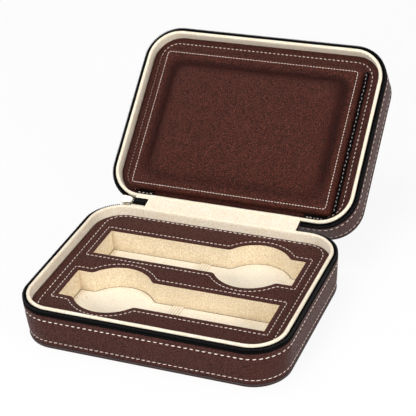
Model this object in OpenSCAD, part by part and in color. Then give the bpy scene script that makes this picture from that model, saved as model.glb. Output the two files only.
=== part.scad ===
// Zipped travel case for two watches, drawn open.
// The base lies on Z = 0 with its hinge wall towards +Y. Its origin is the centre of its underside.
// Wall sections are drawn with X = minus the distance in from the outer face and Y = height.
// The lid is drawn as a second base, rim up, and then turned over and swung open by lid_place().

/* [Case] */
// Width of the case over its side walls
case_w = 200; // [180:1:230]
// Depth of the case over its front and hinge walls
case_d = 150; // [140:1:180]
// Height of the base up to the top of its zip tape
base_h = 31.8; // [28:0.2:40]
// Height of the lid up to the edge of its zip tape
lid_h = 33.4; // [29:0.2:40]
// Radius of the upright corners at the rim
corner_r = 28; // [24:1:32]
// How far each wall leans in from the rim to the panel it ends on
wall_lean = 2.2; // [1:0.1:3.5]
// Angle the lid is swung open by
open_angle = 140.6; // [120:0.2:142]

/* [Walls] */
// Thickness of the outer leatherette
cover_t = 1; // [0.8:0.1:1.2]
// Thickness of the stiff boards in walls and panels
board_t = 2; // [1.6:0.1:2.2]
// Total thickness of a wall at its rim
wall_t = 6; // [5.8:0.1:7]
// Clearance left between glued pieces
glue_gap = 0.1; // [0.05:0.01:0.15]
// Clearance left between the base, the lid and the soft pieces that join them
soft_gap = 0.3; // [0.2:0.05:0.4]
// Radius of the piping round the outer panels
piping_r = 0.7; // [0.5:0.05:0.9]

/* [Rim] */
// Height of the zip tape between the leatherette and the rim
tape_h = 3.6; // [3:0.1:4.5]
// Width of the zip tape on the rim, outside the padded lining
tape_w = 3.3; // [2.9:0.05:3.4]
// Thickness of the tape's upright edge
tape_t = 0.8; // [0.6:0.05:0.9]
// Radius of the zip's coil
coil_r = 0.9; // [0.7:0.05:0.95]
// How far the padded lining stands above the rim
roll_h = 1.4; // [1:0.1:1.8]
// Gap left between the two padded linings when the case is shut
roll_gap = 0.4; // [0.3:0.05:0.8]

/* [Hinge] */
// Distance of each end of the soft hinge from the start of the round corner
hinge_end = 11; // [8:0.5:14]
// How far the hinge line lies behind the outer face of the hinge wall
hinge_out = 2; // [1.8:0.1:2.6]
// How far the hinge line lies below the middle of the closed rim
hinge_drop = 0.7; // [0.5:0.05:0.9]
// Thickness of the gusset that lines the hinge
gusset_t = 0.8; // [0.6:0.05:0.9]

/* [Tray] */
// Depth of the tray's face below the rim of the base
tray_drop = 6.2; // [5:0.1:8]
// Distance of the wells' ends from the inside of the side walls
well_end_gap = 16.5; // [14:0.5:20]
// Width of the strap channel of a well
well_w = 32; // [26:0.2:34]
// Depth of a well below the tray's face
well_depth = 17.1; // [12:0.1:18]
// Radius of the round pocket for the watch head
head_r = 28.4; // [24:0.2:29]
// Distance of the round pocket's centre from the near end of its well
head_from_end = 35.2; // [32:0.1:38]
// Radius where the round pocket runs into the strap channel
head_blend_r = 4; // [3:0.25:6]
// Distance between the centre lines of the two wells
well_pitch = 56; // [52:0.5:58]
// Shift of both wells towards the hinge
well_shift = 1; // [0:0.25:1.5]
// Thickness of the velvet-covered wall of a well
well_wall_t = 1.2; // [0.8:0.1:1.5]
// Width of the elastic band across a well's floor
band_w = 8; // [6:0.5:10]
// Thickness of the elastic band
band_t = 1; // [0.6:0.1:1.2]
// Distance of the elastic band from the middle of the case, away from the head
band_x = 1; // [0:0.5:8]

/* [Lid lining] */
// Depth of the lid's liner panel below the rim of the lid
liner_drop = 7; // [6:0.1:9]
// Width of the foam strips that hold the liner panel off the lid's outer panel
spacer_w = 8; // [6:0.5:12]
// Width of the liner's leatherette facing that is caught under the cushion's edge
facing_lap = 6; // [4:0.5:10]
// Height of the padded cushion on the liner panel
pad_t = 10.5; // [6:0.25:11]
// Distance of the cushion's sides from the inside of the side walls
pad_side_gap = 11.5; // [10:0.25:18]
// Distance of the cushion's long edges from the walls, before its shift
pad_edge_gap = 8.75; // [8:0.25:14]
// Shift of the cushion towards the hinge
pad_shift = 4; // [0:0.25:4.5]
// Shift of the cushion away from its stitched side
pad_side_shift = 1; // [0:0.25:2]
// Radius of the cushion's corners seen from above
pad_corner_r = 5; // [4:0.25:8]
// Radius of the cushion's rolled edge
pad_edge_r = 2.5; // [1.5:0.25:3]
// Depth of the channel between the cushion's border and its crowned middle
pad_channel_h = 1.2; // [0.8:0.1:1.6]
// Width of the flat border outside the channel
pad_border_w = 13; // [9:0.5:16]

/* [Zip slider] */
// Length of the slider along the zip
slider_l = 8.5; // [8:0.25:10]
// Width of the slider across the zip
slider_w = 6.8; // [6.4:0.1:7.6]
// Thickness of each of the slider's two plates
slider_plate_t = 0.8; // [0.6:0.05:0.85]
// Height of the channel between the plates
slider_channel = 2; // [1.8:0.05:2.05]
// Distance of the slider from the end of the soft hinge
slider_from_hinge = 13; // [11:0.25:13]
// Length of the pull from its pivot to its tip
pull_l = 20; // [14:0.5:24]
// Width of the pull
pull_w = 5.6; // [4.6:0.1:6]
// Thickness of the pull
pull_t = 1.2; // [0.8:0.1:1.4]

/* [Hidden] */
$fn = 64;

leather = [0.30, 0.17, 0.15];
dark_leather = [0.22, 0.12, 0.11];
suede = [0.95, 0.90, 0.78];
velvet = [0.84, 0.74, 0.60];
black = [0.09, 0.08, 0.08];
greyboard = [0.62, 0.58, 0.52];
foam = [0.35, 0.35, 0.37];
nickel = [0.75, 0.74, 0.71];

// Closed rim, hinge line and the half-open plane of the zip
rim_gap = 2 * roll_h + roll_gap;
hinge_half_w = case_w / 2 - corner_r - hinge_end;
hinge_y = case_d / 2 + hinge_out;
hinge_z = base_h + rim_gap / 2 - hinge_drop;
cover_top_inset = wall_lean * tape_h / base_h;
coil_proud_out = 0.1;
coil_proud_up = 0.5;

// Stacks on the outer panels, and the inside of the walls
stack_t = cover_t + board_t;
inner_w = case_w - 2 * wall_t;
inner_d = case_d - 2 * wall_t;
inner_r = corner_r - wall_t;
well_l = inner_w - 2 * well_end_gap;
head_x = well_l / 2 - head_from_end;
tray_top = base_h - tray_drop;
tray_under = tray_top - cover_t - board_t;
well_floor = tray_top - well_depth;
well_wall_set = 0.2;
band_ribs = 3;
rib_share = 0.8;
// The blend cuts this far past its tangent points, so that its ends are clean corners
blend_bite = 0.02;

// Cushion on the lid's liner panel
pad_w = inner_w - 2 * pad_side_gap;
pad_d = inner_d - 2 * pad_edge_gap;

// Padded lining along the rim
roll_w = wall_t - tape_w - glue_gap;
roll_r = roll_w / 2;

// Slider and pull
slider_x = -(hinge_half_w + slider_from_hinge + slider_l / 2);
slider_out = 0.1;
slider_up = 0.5;
slider_half_t = slider_channel / 2 + slider_plate_t;
slider_flange_t = 0.6;
slider_slot = 1.2;
bail_r = 1.7;
bail_wire_r = 0.45;
pull_gap = 0.25;
pivot_out = slider_half_t + pull_t / 2 + pull_gap;
pull_bar_r = 0.45;
pull_eye_l = 5;
end_tape_t = 0.6;
end_tape_low = 5;
end_tape_high = 3.8;
nose_share = 0.3;
wedge_l = 3.2;
wedge_w = 1.8;
wedge_tip_w = 0.7;
flange_l = 3.6;
plate_tail = 0.74;
plate_chamfer = 1;
pull_hole_r = 1.1;
pull_arm_gap = 2.4;

// --- Shared sections and sweeps ---

// How far a wall's outer face has leaned in at height z
function lean_at(z, h) = wall_lean * (1 - z / h);

// A point of the hinge's section swung about the hinge line by angle a
function swung(p, a) = [
    hinge_y + (p[0] - hinge_y) * cos(a) - (p[1] - hinge_z) * sin(a),
    hinge_z + (p[0] - hinge_y) * sin(a) + (p[1] - hinge_z) * cos(a)];

// Height of a point in the closed case, for a height in the upturned lid
function closed_z(z) = base_h + rim_gap + lid_h - z;

// Rounded rectangle
module rounded_rect(w, d, r) {
    square([w - 2 * r, d], center = true);
    square([w, d - 2 * r], center = true);
    for (x = [-1, 1], y = [-1, 1])
        translate([x * (w / 2 - r), y * (d / 2 - r)]) circle(r);
}

// Plate with rounded corners
module rounded_plate(w, d, r, z0, z1) {
    translate([0, 0, z0]) linear_extrude(height = z1 - z0) rounded_rect(w, d, r);
}

// A wall section run along one straight side, facing the direction turn
module side_run(turn, out, len, shift = 0) {
    rotate([0, 0, turn]) translate([out, len / 2 + shift, 0])
        rotate([90, 0, 0]) linear_extrude(height = len) children();
}

// A wall section turned round one upright corner, from angle start over sweep degrees
module corner_turn(x, y, start, sweep, r) {
    translate([x, y, 0]) rotate([0, 0, start])
        rotate_extrude(angle = sweep) translate([r, 0]) children();
}

// A wall section swept all round a rounded rectangle
module ring_sweep(w, d, r) {
    for (turn = [0, 180]) side_run(turn, w / 2, d - 2 * r) children();
    for (turn = [90, 270]) side_run(turn, d / 2, w - 2 * r) children();
    for (k = [0 : 3]) {
        sx = (k == 0 || k == 3) ? 1 : -1;
        sy = (k < 2) ? 1 : -1;
        corner_turn(sx * (w / 2 - r), sy * (d / 2 - r), 90 * k, 90, r) children();
    }
}

// A wall section swept from one end of the soft hinge round the front to the slider
module zip_sweep() {
    cx = case_w / 2 - corner_r;
    cy = case_d / 2 - corner_r;
    ring_end = -slider_x + slider_l / 2 + glue_gap;
    reach = asin(max(0, ring_end - cx) / corner_r);
    stub = cx - hinge_half_w;
    slider_stub = cx - ring_end;
    for (turn = [0, 180]) side_run(turn, case_w / 2, 2 * cy) children();
    side_run(270, case_d / 2, 2 * cx) children();
    side_run(90, case_d / 2, stub, -(hinge_half_w + stub / 2)) children();
    if (slider_stub > 0) side_run(90, case_d / 2, slider_stub, ring_end + slider_stub / 2) children();
    corner_turn(cx, cy, 0, 90, corner_r) children();
    corner_turn(cx, -cy, 270, 90, corner_r) children();
    corner_turn(-cx, -cy, 180, 90, corner_r) children();
    mirror([0, 1, 0]) corner_turn(-cx, -cy, 180, 90 - reach, corner_r) children();
}

// A section in the plane of the hinge, run along X from x0 to x1
module along_x(x0, x1) {
    translate([x0, 0, 0]) rotate([90, 0, 90]) linear_extrude(height = x1 - x0) children();
}

// The upturned lid set on the closed base and swung open
module lid_place() {
    translate([0, hinge_y, hinge_z]) rotate([-open_angle, 0, 0]) translate([0, -hinge_y, -hinge_z])
        translate([0, 0, closed_z(0)]) mirror([0, 0, 1]) children();
}

// The slider's own frame: X along the zip, Y out of the case, Z across the zip
module slider_place() {
    translate([slider_x, hinge_y, hinge_z]) rotate([-open_angle / 2, 0, 0])
        translate([0, slider_out, slider_up]) children();
}

// --- Pieces that base and lid share ---

module panel_cover(h) {
    lean = lean_at(0, h);
    color(dark_leather) rounded_plate(case_w - 2 * lean, case_d - 2 * lean, corner_r - lean, 0, cover_t);
}

module panel_board(h) {
    inset = lean_at(0, h) + cover_t + glue_gap;
    color(greyboard) rounded_plate(case_w - 2 * inset, case_d - 2 * inset, corner_r - inset,
                                   cover_t, stack_t);
}

// Piping round the edge of an outer panel, on the seam with the wall
module panel_piping(h) {
    z = cover_t + piping_r;
    color(black) ring_sweep(case_w, case_d, corner_r)
        translate([-lean_at(z, h) - piping_r / 2, z]) circle(piping_r, $fn = 24);
}

module wall_cover(h) {
    z0 = cover_t + 2 * piping_r;
    z1 = h - tape_h;
    color(leather) ring_sweep(case_w, case_d, corner_r)
        polygon([[-lean_at(z0, h), z0], [-lean_at(z1, h), z1],
                 [-lean_at(z1, h) - cover_t, z1], [-lean_at(z0, h) - cover_t, z0]]);
}

module wall_board(h) {
    z0 = stack_t;
    z1 = h - tape_h;
    a0 = lean_at(z0, h) + cover_t + glue_gap;
    a1 = lean_at(z1, h) + cover_t + glue_gap;
    color(greyboard) ring_sweep(case_w, case_d, corner_r)
        polygon([[-a0 - piping_r / 2, z0], [-a0 - piping_r / 2, z0 + piping_r], [-a1, z1],
                 [-a1 - board_t, z1], [-a0 - board_t, z0]]);
}

// Lining: a padded roll along the rim that thins out down the wall
module wall_lining(h) {
    z0 = stack_t;
    z1 = h - tape_h;
    inside = cover_t + board_t + 2 * glue_gap;
    color(suede) ring_sweep(case_w, case_d, corner_r) {
        polygon([[-wall_t, z0], [-wall_t, h + roll_h - roll_r], [-wall_t + roll_w, h + roll_h - roll_r],
                 [-wall_t + roll_w, z1 + glue_gap],
                 [-max(lean_at(z1, h) + inside, wall_t - roll_w), z1 + glue_gap],
                 [-max(lean_at(z1, h) + inside, wall_t - roll_w), z1],
                 [-lean_at(z0, h) - inside, z0]]);
        translate([-wall_t + roll_r, h + roll_h - roll_r]) circle(roll_r);
    }
}

// Zip tape: upright edge above the leatherette, coil bed, and the fold under the lining
module zip_tape(h) {
    bed = h + coil_proud_up - 2 * coil_r - glue_gap;
    color(black) zip_sweep()
        polygon([[-cover_top_inset, h - tape_h], [-cover_top_inset, bed],
                 [-cover_top_inset - 2 * coil_r, bed], [-cover_top_inset - 2 * coil_r, h],
                 [-tape_w, h], [-tape_w, h - tape_h + glue_gap], [-tape_w + tape_t, h - tape_h]]);
}

module zip_coil(h) {
    color(black) zip_sweep()
        translate([-cover_top_inset - coil_r + coil_proud_out, h - coil_r + coil_proud_up])
            circle(coil_r, $fn = 24);
}

// --- Base ---

// Outline of one well, grown outwards by grow, with the watch head's pocket at -X
module well_outline(grow) {
    half = well_w / 2 + grow;
    r = head_r + grow;
    fr = head_blend_r - grow;
    dx = sqrt((r + fr) * (r + fr) - (half + fr) * (half + fr));
    jx = sqrt(r * r - half * half);
    square([well_l + 2 * grow, 2 * half], center = true);
    translate([-head_x, 0]) {
        circle(r, $fn = 96);
        for (sx = [-1, 1], sy = [-1, 1]) scale([sx, sy]) difference() {
            polygon([[jx - fr, half - fr], [dx, half - fr], [dx, half], [dx, half + fr],
                     [dx * r / (r + fr), (half + fr) * r / (r + fr)]]);
            translate([dx, half + fr]) circle(fr + blend_bite, $fn = 32);
        }
    }
}

// Both wells, the second turned half round
module both_wells(grow) {
    front_well() well_outline(grow);
    back_well() well_outline(grow);
}

module front_well() {
    translate([0, well_shift - well_pitch / 2, 0]) children();
}

module back_well() {
    translate([0, well_shift + well_pitch / 2, 0]) rotate([0, 0, 180]) children();
}

module insert_foam() {
    color(foam) translate([0, 0, stack_t]) linear_extrude(height = tray_under - stack_t) difference() {
        rounded_rect(inner_w - 2 * glue_gap, inner_d - 2 * glue_gap, inner_r);
        both_wells(well_wall_set + well_wall_t + glue_gap);
    }
}

module tray_board() {
    color(greyboard) translate([0, 0, tray_under]) linear_extrude(height = board_t) difference() {
        rounded_rect(inner_w - 2 * cover_t - 4 * glue_gap, inner_d - 2 * cover_t - 4 * glue_gap,
                     inner_r - cover_t);
        both_wells(well_wall_set + well_wall_t + glue_gap);
    }
}

// Leatherette of the tray, turned down along its outer edge
module tray_cover() {
    color(leather) {
        translate([0, 0, tray_top - cover_t]) linear_extrude(height = cover_t) difference() {
            rounded_rect(inner_w - 2 * glue_gap, inner_d - 2 * glue_gap, inner_r);
            both_wells(0);
        }
        translate([0, 0, tray_under]) linear_extrude(height = tray_top - tray_under) difference() {
            rounded_rect(inner_w - 2 * glue_gap, inner_d - 2 * glue_gap, inner_r);
            rounded_rect(inner_w - 2 * cover_t - 2 * glue_gap, inner_d - 2 * cover_t - 2 * glue_gap,
                         inner_r - cover_t);
        }
    }
}

// Velvet-covered wall of a well, up to the underside of the tray's leatherette
module well_wall() {
    color(velvet) translate([0, 0, stack_t]) linear_extrude(height = tray_top - cover_t - stack_t)
        difference() {
            well_outline(well_wall_set + well_wall_t);
            well_outline(well_wall_set);
        }
}

// Padded floor that fills a well from the bottom board up
module well_floor_pad() {
    color(suede) translate([0, 0, stack_t]) linear_extrude(height = well_floor - stack_t)
        well_outline(well_wall_set - glue_gap);
}

// Elastic band: three ribs across the floor, standing up its two walls' feet
module strap_band() {
    step = band_w / band_ribs;
    rib_w = step * rib_share;
    len = well_w + 2 * (well_wall_set - glue_gap);
    color(suede) translate([band_x - band_w / 2, -len / 2, well_floor]) {
        cube([band_w, len, band_t / 2]);
        for (k = [0 : band_ribs - 1]) translate([k * step + (step - rib_w) / 2, 0, 0])
            cube([rib_w, len, band_t]);
    }
}

// --- Lid lining ---

// Foam strips round the edge and across the middle that carry the liner panel
module lid_spacer() {
    color(foam) lid_place() translate([0, 0, stack_t])
        linear_extrude(height = lid_h - liner_drop - cover_t - board_t - stack_t) {
            difference() {
                rounded_rect(inner_w - 2 * glue_gap, inner_d - 2 * glue_gap, inner_r);
                rounded_rect(inner_w - 2 * spacer_w, inner_d - 2 * spacer_w, inner_r - spacer_w);
            }
            square([spacer_w, inner_d - 2 * spacer_w + glue_gap], center = true);
        }
}

module lid_liner_board() {
    top = lid_h - liner_drop - cover_t;
    color(greyboard) lid_place() rounded_plate(inner_w - 4 * glue_gap, inner_d - 4 * glue_gap, inner_r,
                                               top - board_t, top);
}

// Facing round the cushion, open where the cushion sits on the board
module lid_liner_cover() {
    top = lid_h - liner_drop;
    color(leather) lid_place() translate([0, 0, top - cover_t]) linear_extrude(height = cover_t)
        difference() {
            rounded_rect(inner_w - 2 * glue_gap, inner_d - 2 * glue_gap, inner_r);
            translate([-pad_side_shift, pad_shift])
                rounded_rect(pad_w - 2 * facing_lap, pad_d - 2 * facing_lap, pad_corner_r);
        }
}

// Solid with a rolled upper edge: half a bead swept round a rounded rectangle
module rolled_block(w, d, r, edge, z0, z1) {
    rounded_plate(w, d, r, z0, z1 - edge);
    rounded_plate(w - 2 * edge, d - 2 * edge, r - edge, z0, z1);
    translate([0, 0, z1 - edge]) ring_sweep(w, d, r) translate([-edge, 0]) intersection() {
        circle(edge, $fn = 32);
        square([2 * edge, 2 * edge]);
    }
}

// The cushion's outer form, shrunk all round by inset: border, channel and crowned middle
module cushion_form(inset, z0) {
    border = lid_h - liner_drop + pad_t - pad_channel_h;
    mid_w = pad_w - 2 * pad_border_w - 2 * inset;
    mid_d = pad_d - 2 * pad_border_w - 2 * inset;
    translate([-pad_side_shift, pad_shift, 0]) {
        rolled_block(pad_w - 2 * inset, pad_d - 2 * inset, pad_corner_r - inset,
                     pad_edge_r - inset / 2, z0, border - inset);
        rolled_block(mid_w, mid_d, pad_corner_r, pad_channel_h, z0, border + pad_channel_h - inset);
    }
}

module lid_pad_foam() {
    color(foam) lid_place() cushion_form(cover_t + glue_gap, lid_h - liner_drop);
}

module lid_pad_cover() {
    z0 = lid_h - liner_drop;
    color(leather) lid_place() difference() {
        cushion_form(0, z0);
        cushion_form(cover_t, z0 - glue_gap);
    }
}

// Stitched strip that closes the cushion's +X side
module pad_side_gusset() {
    z0 = lid_h - liner_drop;
    len = pad_d - 2 * pad_corner_r;
    color(black) lid_place() translate([pad_w / 2 - pad_side_shift + glue_gap, pad_shift - len / 2, z0])
        cube([cover_t / 2, len, pad_t - pad_channel_h - pad_edge_r]);
}

// --- Hinge ---

// Outer leatherette of the hinge: an arch between the top edges of the two wall covers
module hinge_spine() {
    foot = [case_d / 2 - cover_top_inset, base_h - tape_h];
    lid_edge = case_d / 2 - wall_lean * tape_h / lid_h;
    head = swung([lid_edge, closed_z(lid_h - tape_h)], -open_angle);
    span = head - foot;
    chord = norm(span);
    tilt = atan2(span[1], span[0]);
    r = chord / 2 / sin(open_angle / 2);
    sag = r * cos(open_angle / 2);
    far = 4 * r;
    base_side = open_angle / 2;
    lid_side = open_angle / 2 - atan(soft_gap / r);
    color(leather) along_x(-hinge_half_w, hinge_half_w)
        translate((foot + head) / 2) rotate(tilt) translate([0, -sag]) intersection() {
            difference() {
                circle(r + cover_t);
                circle(r);
            }
            polygon([[0, 0], [-far * sin(base_side), far * cos(base_side)], [0, far],
                     [far * sin(lid_side), far * cos(lid_side)]]);
        }
}

// Lining of the hinge, taut between the two padded rolls
module hinge_gusset() {
    base_edge = case_d / 2 - tape_w;
    lid_edge = base_edge + soft_gap - glue_gap;
    seam_h = roll_h - roll_r / 2;
    base_top = [base_edge, base_h + seam_h];
    base_low = base_top - [0, gusset_t];
    lid_top = swung([lid_edge, closed_z(lid_h + seam_h)], -open_angle);
    lid_low = swung([lid_edge, closed_z(lid_h + seam_h - gusset_t)], -open_angle);
    color(suede) along_x(-hinge_half_w, hinge_half_w) polygon([base_top, base_low, lid_low, lid_top]);
}

// Closed end of the zip: from inside the slider, through its slot, to the soft hinge
module zip_end_tape() {
    a = -open_angle / 2;
    up = [-sin(a), cos(a)];
    out = end_tape_t / 2 * [cos(a), sin(a)];
    mid = swung([hinge_y + slider_out, hinge_z + slider_up], a);
    low = mid - end_tape_low * up;
    high = mid + end_tape_high * up;
    color(black) along_x(slider_x - slider_l / 2 + wedge_l + soft_gap, -hinge_half_w - soft_gap)
        polygon([low - out, low + out, high + out, high - out]);
}

// --- Zip slider and pull ---

// Outline of a slider plate: wide at the nose, narrow at the tail
module slider_plate() {
    half = slider_l / 2;
    c = plate_chamfer;
    nose = slider_l * nose_share;
    tail_w = slider_w * plate_tail;
    rotate([90, 0, 0]) linear_extrude(height = slider_plate_t) {
        translate([c - half, 0]) square([2 * c, slider_w], center = true);
        polygon([[c - half, slider_w / 2], [nose - half, slider_w / 2], [half - c, tail_w / 2],
                 [half, tail_w / 2 - c], [half, c - tail_w / 2], [half - c, -tail_w / 2],
                 [nose - half, -slider_w / 2], [c - half, -slider_w / 2]]);
    }
}

module zip_slider() {
    tail_w = slider_w * plate_tail;
    peak = wedge_l * nose_share;
    color(nickel) slider_place() {
        for (y = [slider_half_t, -slider_channel / 2]) translate([0, y, 0]) slider_plate();
        // Wedge at the nose that parts the two coils
        translate([-slider_l / 2, 0, 0]) rotate([90, 0, 0])
            linear_extrude(height = slider_channel + 2 * glue_gap, center = true)
                polygon([[glue_gap, 0], [peak, wedge_w / 2], [wedge_l, wedge_tip_w / 2],
                         [wedge_l, -wedge_tip_w / 2], [peak, -wedge_w / 2]]);
        // Flanges along the tail, leaving a slot for the tape
        for (y = [-1, 1], z = [-1, 1])
            translate([slider_l / 2 - flange_l - plate_chamfer,
                       (y > 0) ? slider_slot / 2 : -slider_channel / 2 - glue_gap,
                       (z > 0) ? tail_w / 2 - slider_flange_t : -tail_w / 2])
                cube([flange_l, (slider_channel - slider_slot) / 2 + glue_gap, slider_flange_t]);
        // Bail that holds the pull
        translate([0, slider_half_t - glue_gap, 0])
            rotate_extrude(angle = 180, $fn = 32) translate([bail_r + bail_wire_r, 0])
                circle(bail_wire_r, $fn = 16);
    }
}

// Outline of the pull with Y along it from its bar, slotted for the bail and pierced near its tip
module pull_outline() {
    arm = (pull_w - pull_arm_gap) / 2;
    tip_y = pull_l - pull_w / 2;
    difference() {
        union() {
            for (side = [-1, 1]) translate([side * (pull_w - arm) / 2, pull_eye_l / 2])
                square([arm, pull_eye_l], center = true);
            translate([-pull_w / 2, pull_eye_l - glue_gap])
                square([pull_w, tip_y - pull_eye_l + glue_gap]);
            translate([0, tip_y]) circle(pull_w / 2, $fn = 32);
        }
        translate([0, tip_y]) circle(pull_hole_r, $fn = 24);
    }
}

// The pull stands straight out from the slider, its bar across the zip and through the bail
module zip_pull() {
    arm = (pull_w - pull_arm_gap) / 2;
    color(nickel) slider_place() translate([0, pivot_out, 0]) rotate([0, -90, 0]) {
        rotate([0, 90, 0]) cylinder(h = pull_arm_gap + 2 * glue_gap, r = pull_bar_r, center = true, $fn = 24);
        for (side = [-1, 1]) translate([side * (pull_w - arm) / 2, 0, 0]) rotate([0, 90, 0])
            cylinder(h = arm, r = pull_t / 2, center = true, $fn = 24);
        linear_extrude(height = pull_t, center = true) pull_outline();
    }
}

// --- Pieces made from the shared sections ---

module base_bottom_cover() { panel_cover(base_h); }
module base_bottom_board() { panel_board(base_h); }
module base_piping() { panel_piping(base_h); }
module base_wall_cover() { wall_cover(base_h); }
module base_wall_board() { wall_board(base_h); }
module base_wall_lining() { wall_lining(base_h); }
module base_zip_tape() { zip_tape(base_h); }
module base_zip_coil() { zip_coil(base_h); }
module front_well_wall() { front_well() well_wall(); }
module back_well_wall() { back_well() well_wall(); }
module front_well_floor() { front_well() well_floor_pad(); }
module back_well_floor() { back_well() well_floor_pad(); }
module front_strap_band() { front_well() strap_band(); }
module back_strap_band() { back_well() strap_band(); }
module lid_top_cover() { lid_place() panel_cover(lid_h); }
module lid_top_board() { lid_place() panel_board(lid_h); }
module lid_piping() { lid_place() panel_piping(lid_h); }
module lid_wall_cover() { lid_place() wall_cover(lid_h); }
module lid_wall_board() { lid_place() wall_board(lid_h); }
module lid_wall_lining() { lid_place() wall_lining(lid_h); }
module lid_zip_tape() { lid_place() zip_tape(lid_h); }
module lid_zip_coil() { lid_place() zip_coil(lid_h); }

// --- Nodes ---

base_bottom_cover();
base_bottom_board();
base_piping();
base_wall_cover();
base_wall_board();
base_wall_lining();
base_zip_tape();
base_zip_coil();
insert_foam();
tray_board();
tray_cover();
front_well_wall();
back_well_wall();
front_well_floor();
back_well_floor();
front_strap_band();
back_strap_band();
lid_top_cover();
lid_top_board();
lid_piping();
lid_wall_cover();
lid_wall_board();
lid_wall_lining();
lid_zip_tape();
lid_zip_coil();
lid_spacer();
lid_liner_board();
lid_liner_cover();
lid_pad_foam();
lid_pad_cover();
pad_side_gusset();
hinge_spine();
hinge_gusset();
zip_end_tape();
zip_slider();
zip_pull();
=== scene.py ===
"""Zipped travel case for two watches: soft goods, trim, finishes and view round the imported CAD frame.

Every piece is drawn in millimetres in one of two drawing frames. The base is drawn where it stands. The
lid is drawn as a second base, rim up, and Shell.placement turns it over and swings it open on its hinge.
The part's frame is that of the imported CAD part, in metres.
"""

import logging
import math
import random
from dataclasses import dataclass
from enum import Enum

import bpy
import numpy as np
from mathutils import Matrix, Vector, noise


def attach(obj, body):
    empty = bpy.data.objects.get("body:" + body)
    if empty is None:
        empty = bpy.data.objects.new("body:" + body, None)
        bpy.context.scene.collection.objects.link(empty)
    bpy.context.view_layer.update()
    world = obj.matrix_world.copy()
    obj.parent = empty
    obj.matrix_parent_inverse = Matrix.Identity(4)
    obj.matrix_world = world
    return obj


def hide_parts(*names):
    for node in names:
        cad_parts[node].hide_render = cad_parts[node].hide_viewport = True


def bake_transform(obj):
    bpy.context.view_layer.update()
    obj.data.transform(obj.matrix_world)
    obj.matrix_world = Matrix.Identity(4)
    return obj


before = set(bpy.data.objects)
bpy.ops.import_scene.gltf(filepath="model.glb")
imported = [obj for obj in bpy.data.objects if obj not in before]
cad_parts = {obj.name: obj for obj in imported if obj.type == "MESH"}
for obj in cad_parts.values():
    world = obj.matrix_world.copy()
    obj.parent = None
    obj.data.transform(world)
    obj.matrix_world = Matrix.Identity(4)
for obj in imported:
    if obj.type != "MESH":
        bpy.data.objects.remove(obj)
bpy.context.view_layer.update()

MM = 0.001
MERGE = 0.00001
LOG = logging.getLogger("watch_case")

Point2 = tuple[float, float]
Point3 = tuple[float, float, float]
Colour = tuple[float, float, float]

UP: Point3 = (0, 0, 1)


class Half(Enum):
    """The two halves of the case, by the CAD body that each rides on."""

    BASE = "base"
    LID = "lid"


@dataclass(frozen=True)
class Shell:
    """Driving sizes of the case in millimetres, as in the CAD source."""

    width: float = 200.0
    depth: float = 150.0
    corner: float = 28.0
    lean: float = 2.2
    base_h: float = 31.8
    lid_h: float = 33.4
    tape_h: float = 3.6
    tape_w: float = 3.3
    wall: float = 6.0
    roll_h: float = 1.4
    rim_gap: float = 3.2
    cover: float = 1.0
    open_angle: float = 140.6
    hinge_y: float = 77.0
    hinge_z: float = 32.7
    hinge_half: float = 61.0
    ring_end: float = 82.6
    liner_drop: float = 7.0

    @property
    def liner_top(self) -> float:
        """Height of the lid's liner, which faces the base, in the lid's drawing frame."""
        return self.lid_h - self.liner_drop

    def height(self, half: Half) -> float:
        """Rim height of one half in its own drawing frame."""
        return self.base_h if half is Half.BASE else self.lid_h

    def lean_at(self, z: float, half: Half) -> float:
        """How far the outer face has leaned in at height z."""
        return self.lean * (1 - z / self.height(half))

    def placement(self, half: Half) -> Matrix:
        """Matrix from a half's drawing frame, in metres, to the part's frame.

        Args:
            half: the half whose drawing frame is meant.

        Returns:
            A 4 by 4 matrix: the identity for the base, a turn over and a swing for the lid.
        """
        if half is Half.BASE:
            return Matrix.Identity(4)
        line = Vector((0, self.hinge_y * MM, self.hinge_z * MM))
        swing = (Matrix.Translation(line) @ Matrix.Rotation(-math.radians(self.open_angle), 4, "X")
                 @ Matrix.Translation(-line))
        top = (self.base_h + self.rim_gap + self.lid_h) * MM
        return swing @ Matrix.Translation((0, 0, top)) @ Matrix.Diagonal((1, 1, -1, 1))

    def hinge_point(self, inset: float, z: float, half: Half) -> Point2:
        """A point of the hinge wall's section in the part's frame, at rest.

        Args:
            inset: distance in from the outer face of the hinge wall.
            z: height in the half's drawing frame.
            half: the half that the point belongs to.

        Returns:
            Its Y and Z in millimetres.
        """
        p = self.placement(half) @ Vector((0, (self.depth / 2 - inset) * MM, z * MM))
        return p.y / MM, p.z / MM


SHELL = Shell()


# ---------------------------------------------------------------------------------------------
# Materials
# ---------------------------------------------------------------------------------------------


def srgb(r: int, g: int, b: int) -> Colour:
    """Linear colour from 8-bit display values.

    Args:
        r: the red value.
        g: the green value.
        b: the blue value.

    Returns:
        The three channels in linear light.
    """
    def lin(v: int) -> float:
        """One channel in linear light."""
        c = v / 255
        return c / 12.92 if c <= 0.04045 else ((c + 0.055) / 1.055) ** 2.4
    return lin(r), lin(g), lin(b)


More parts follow.
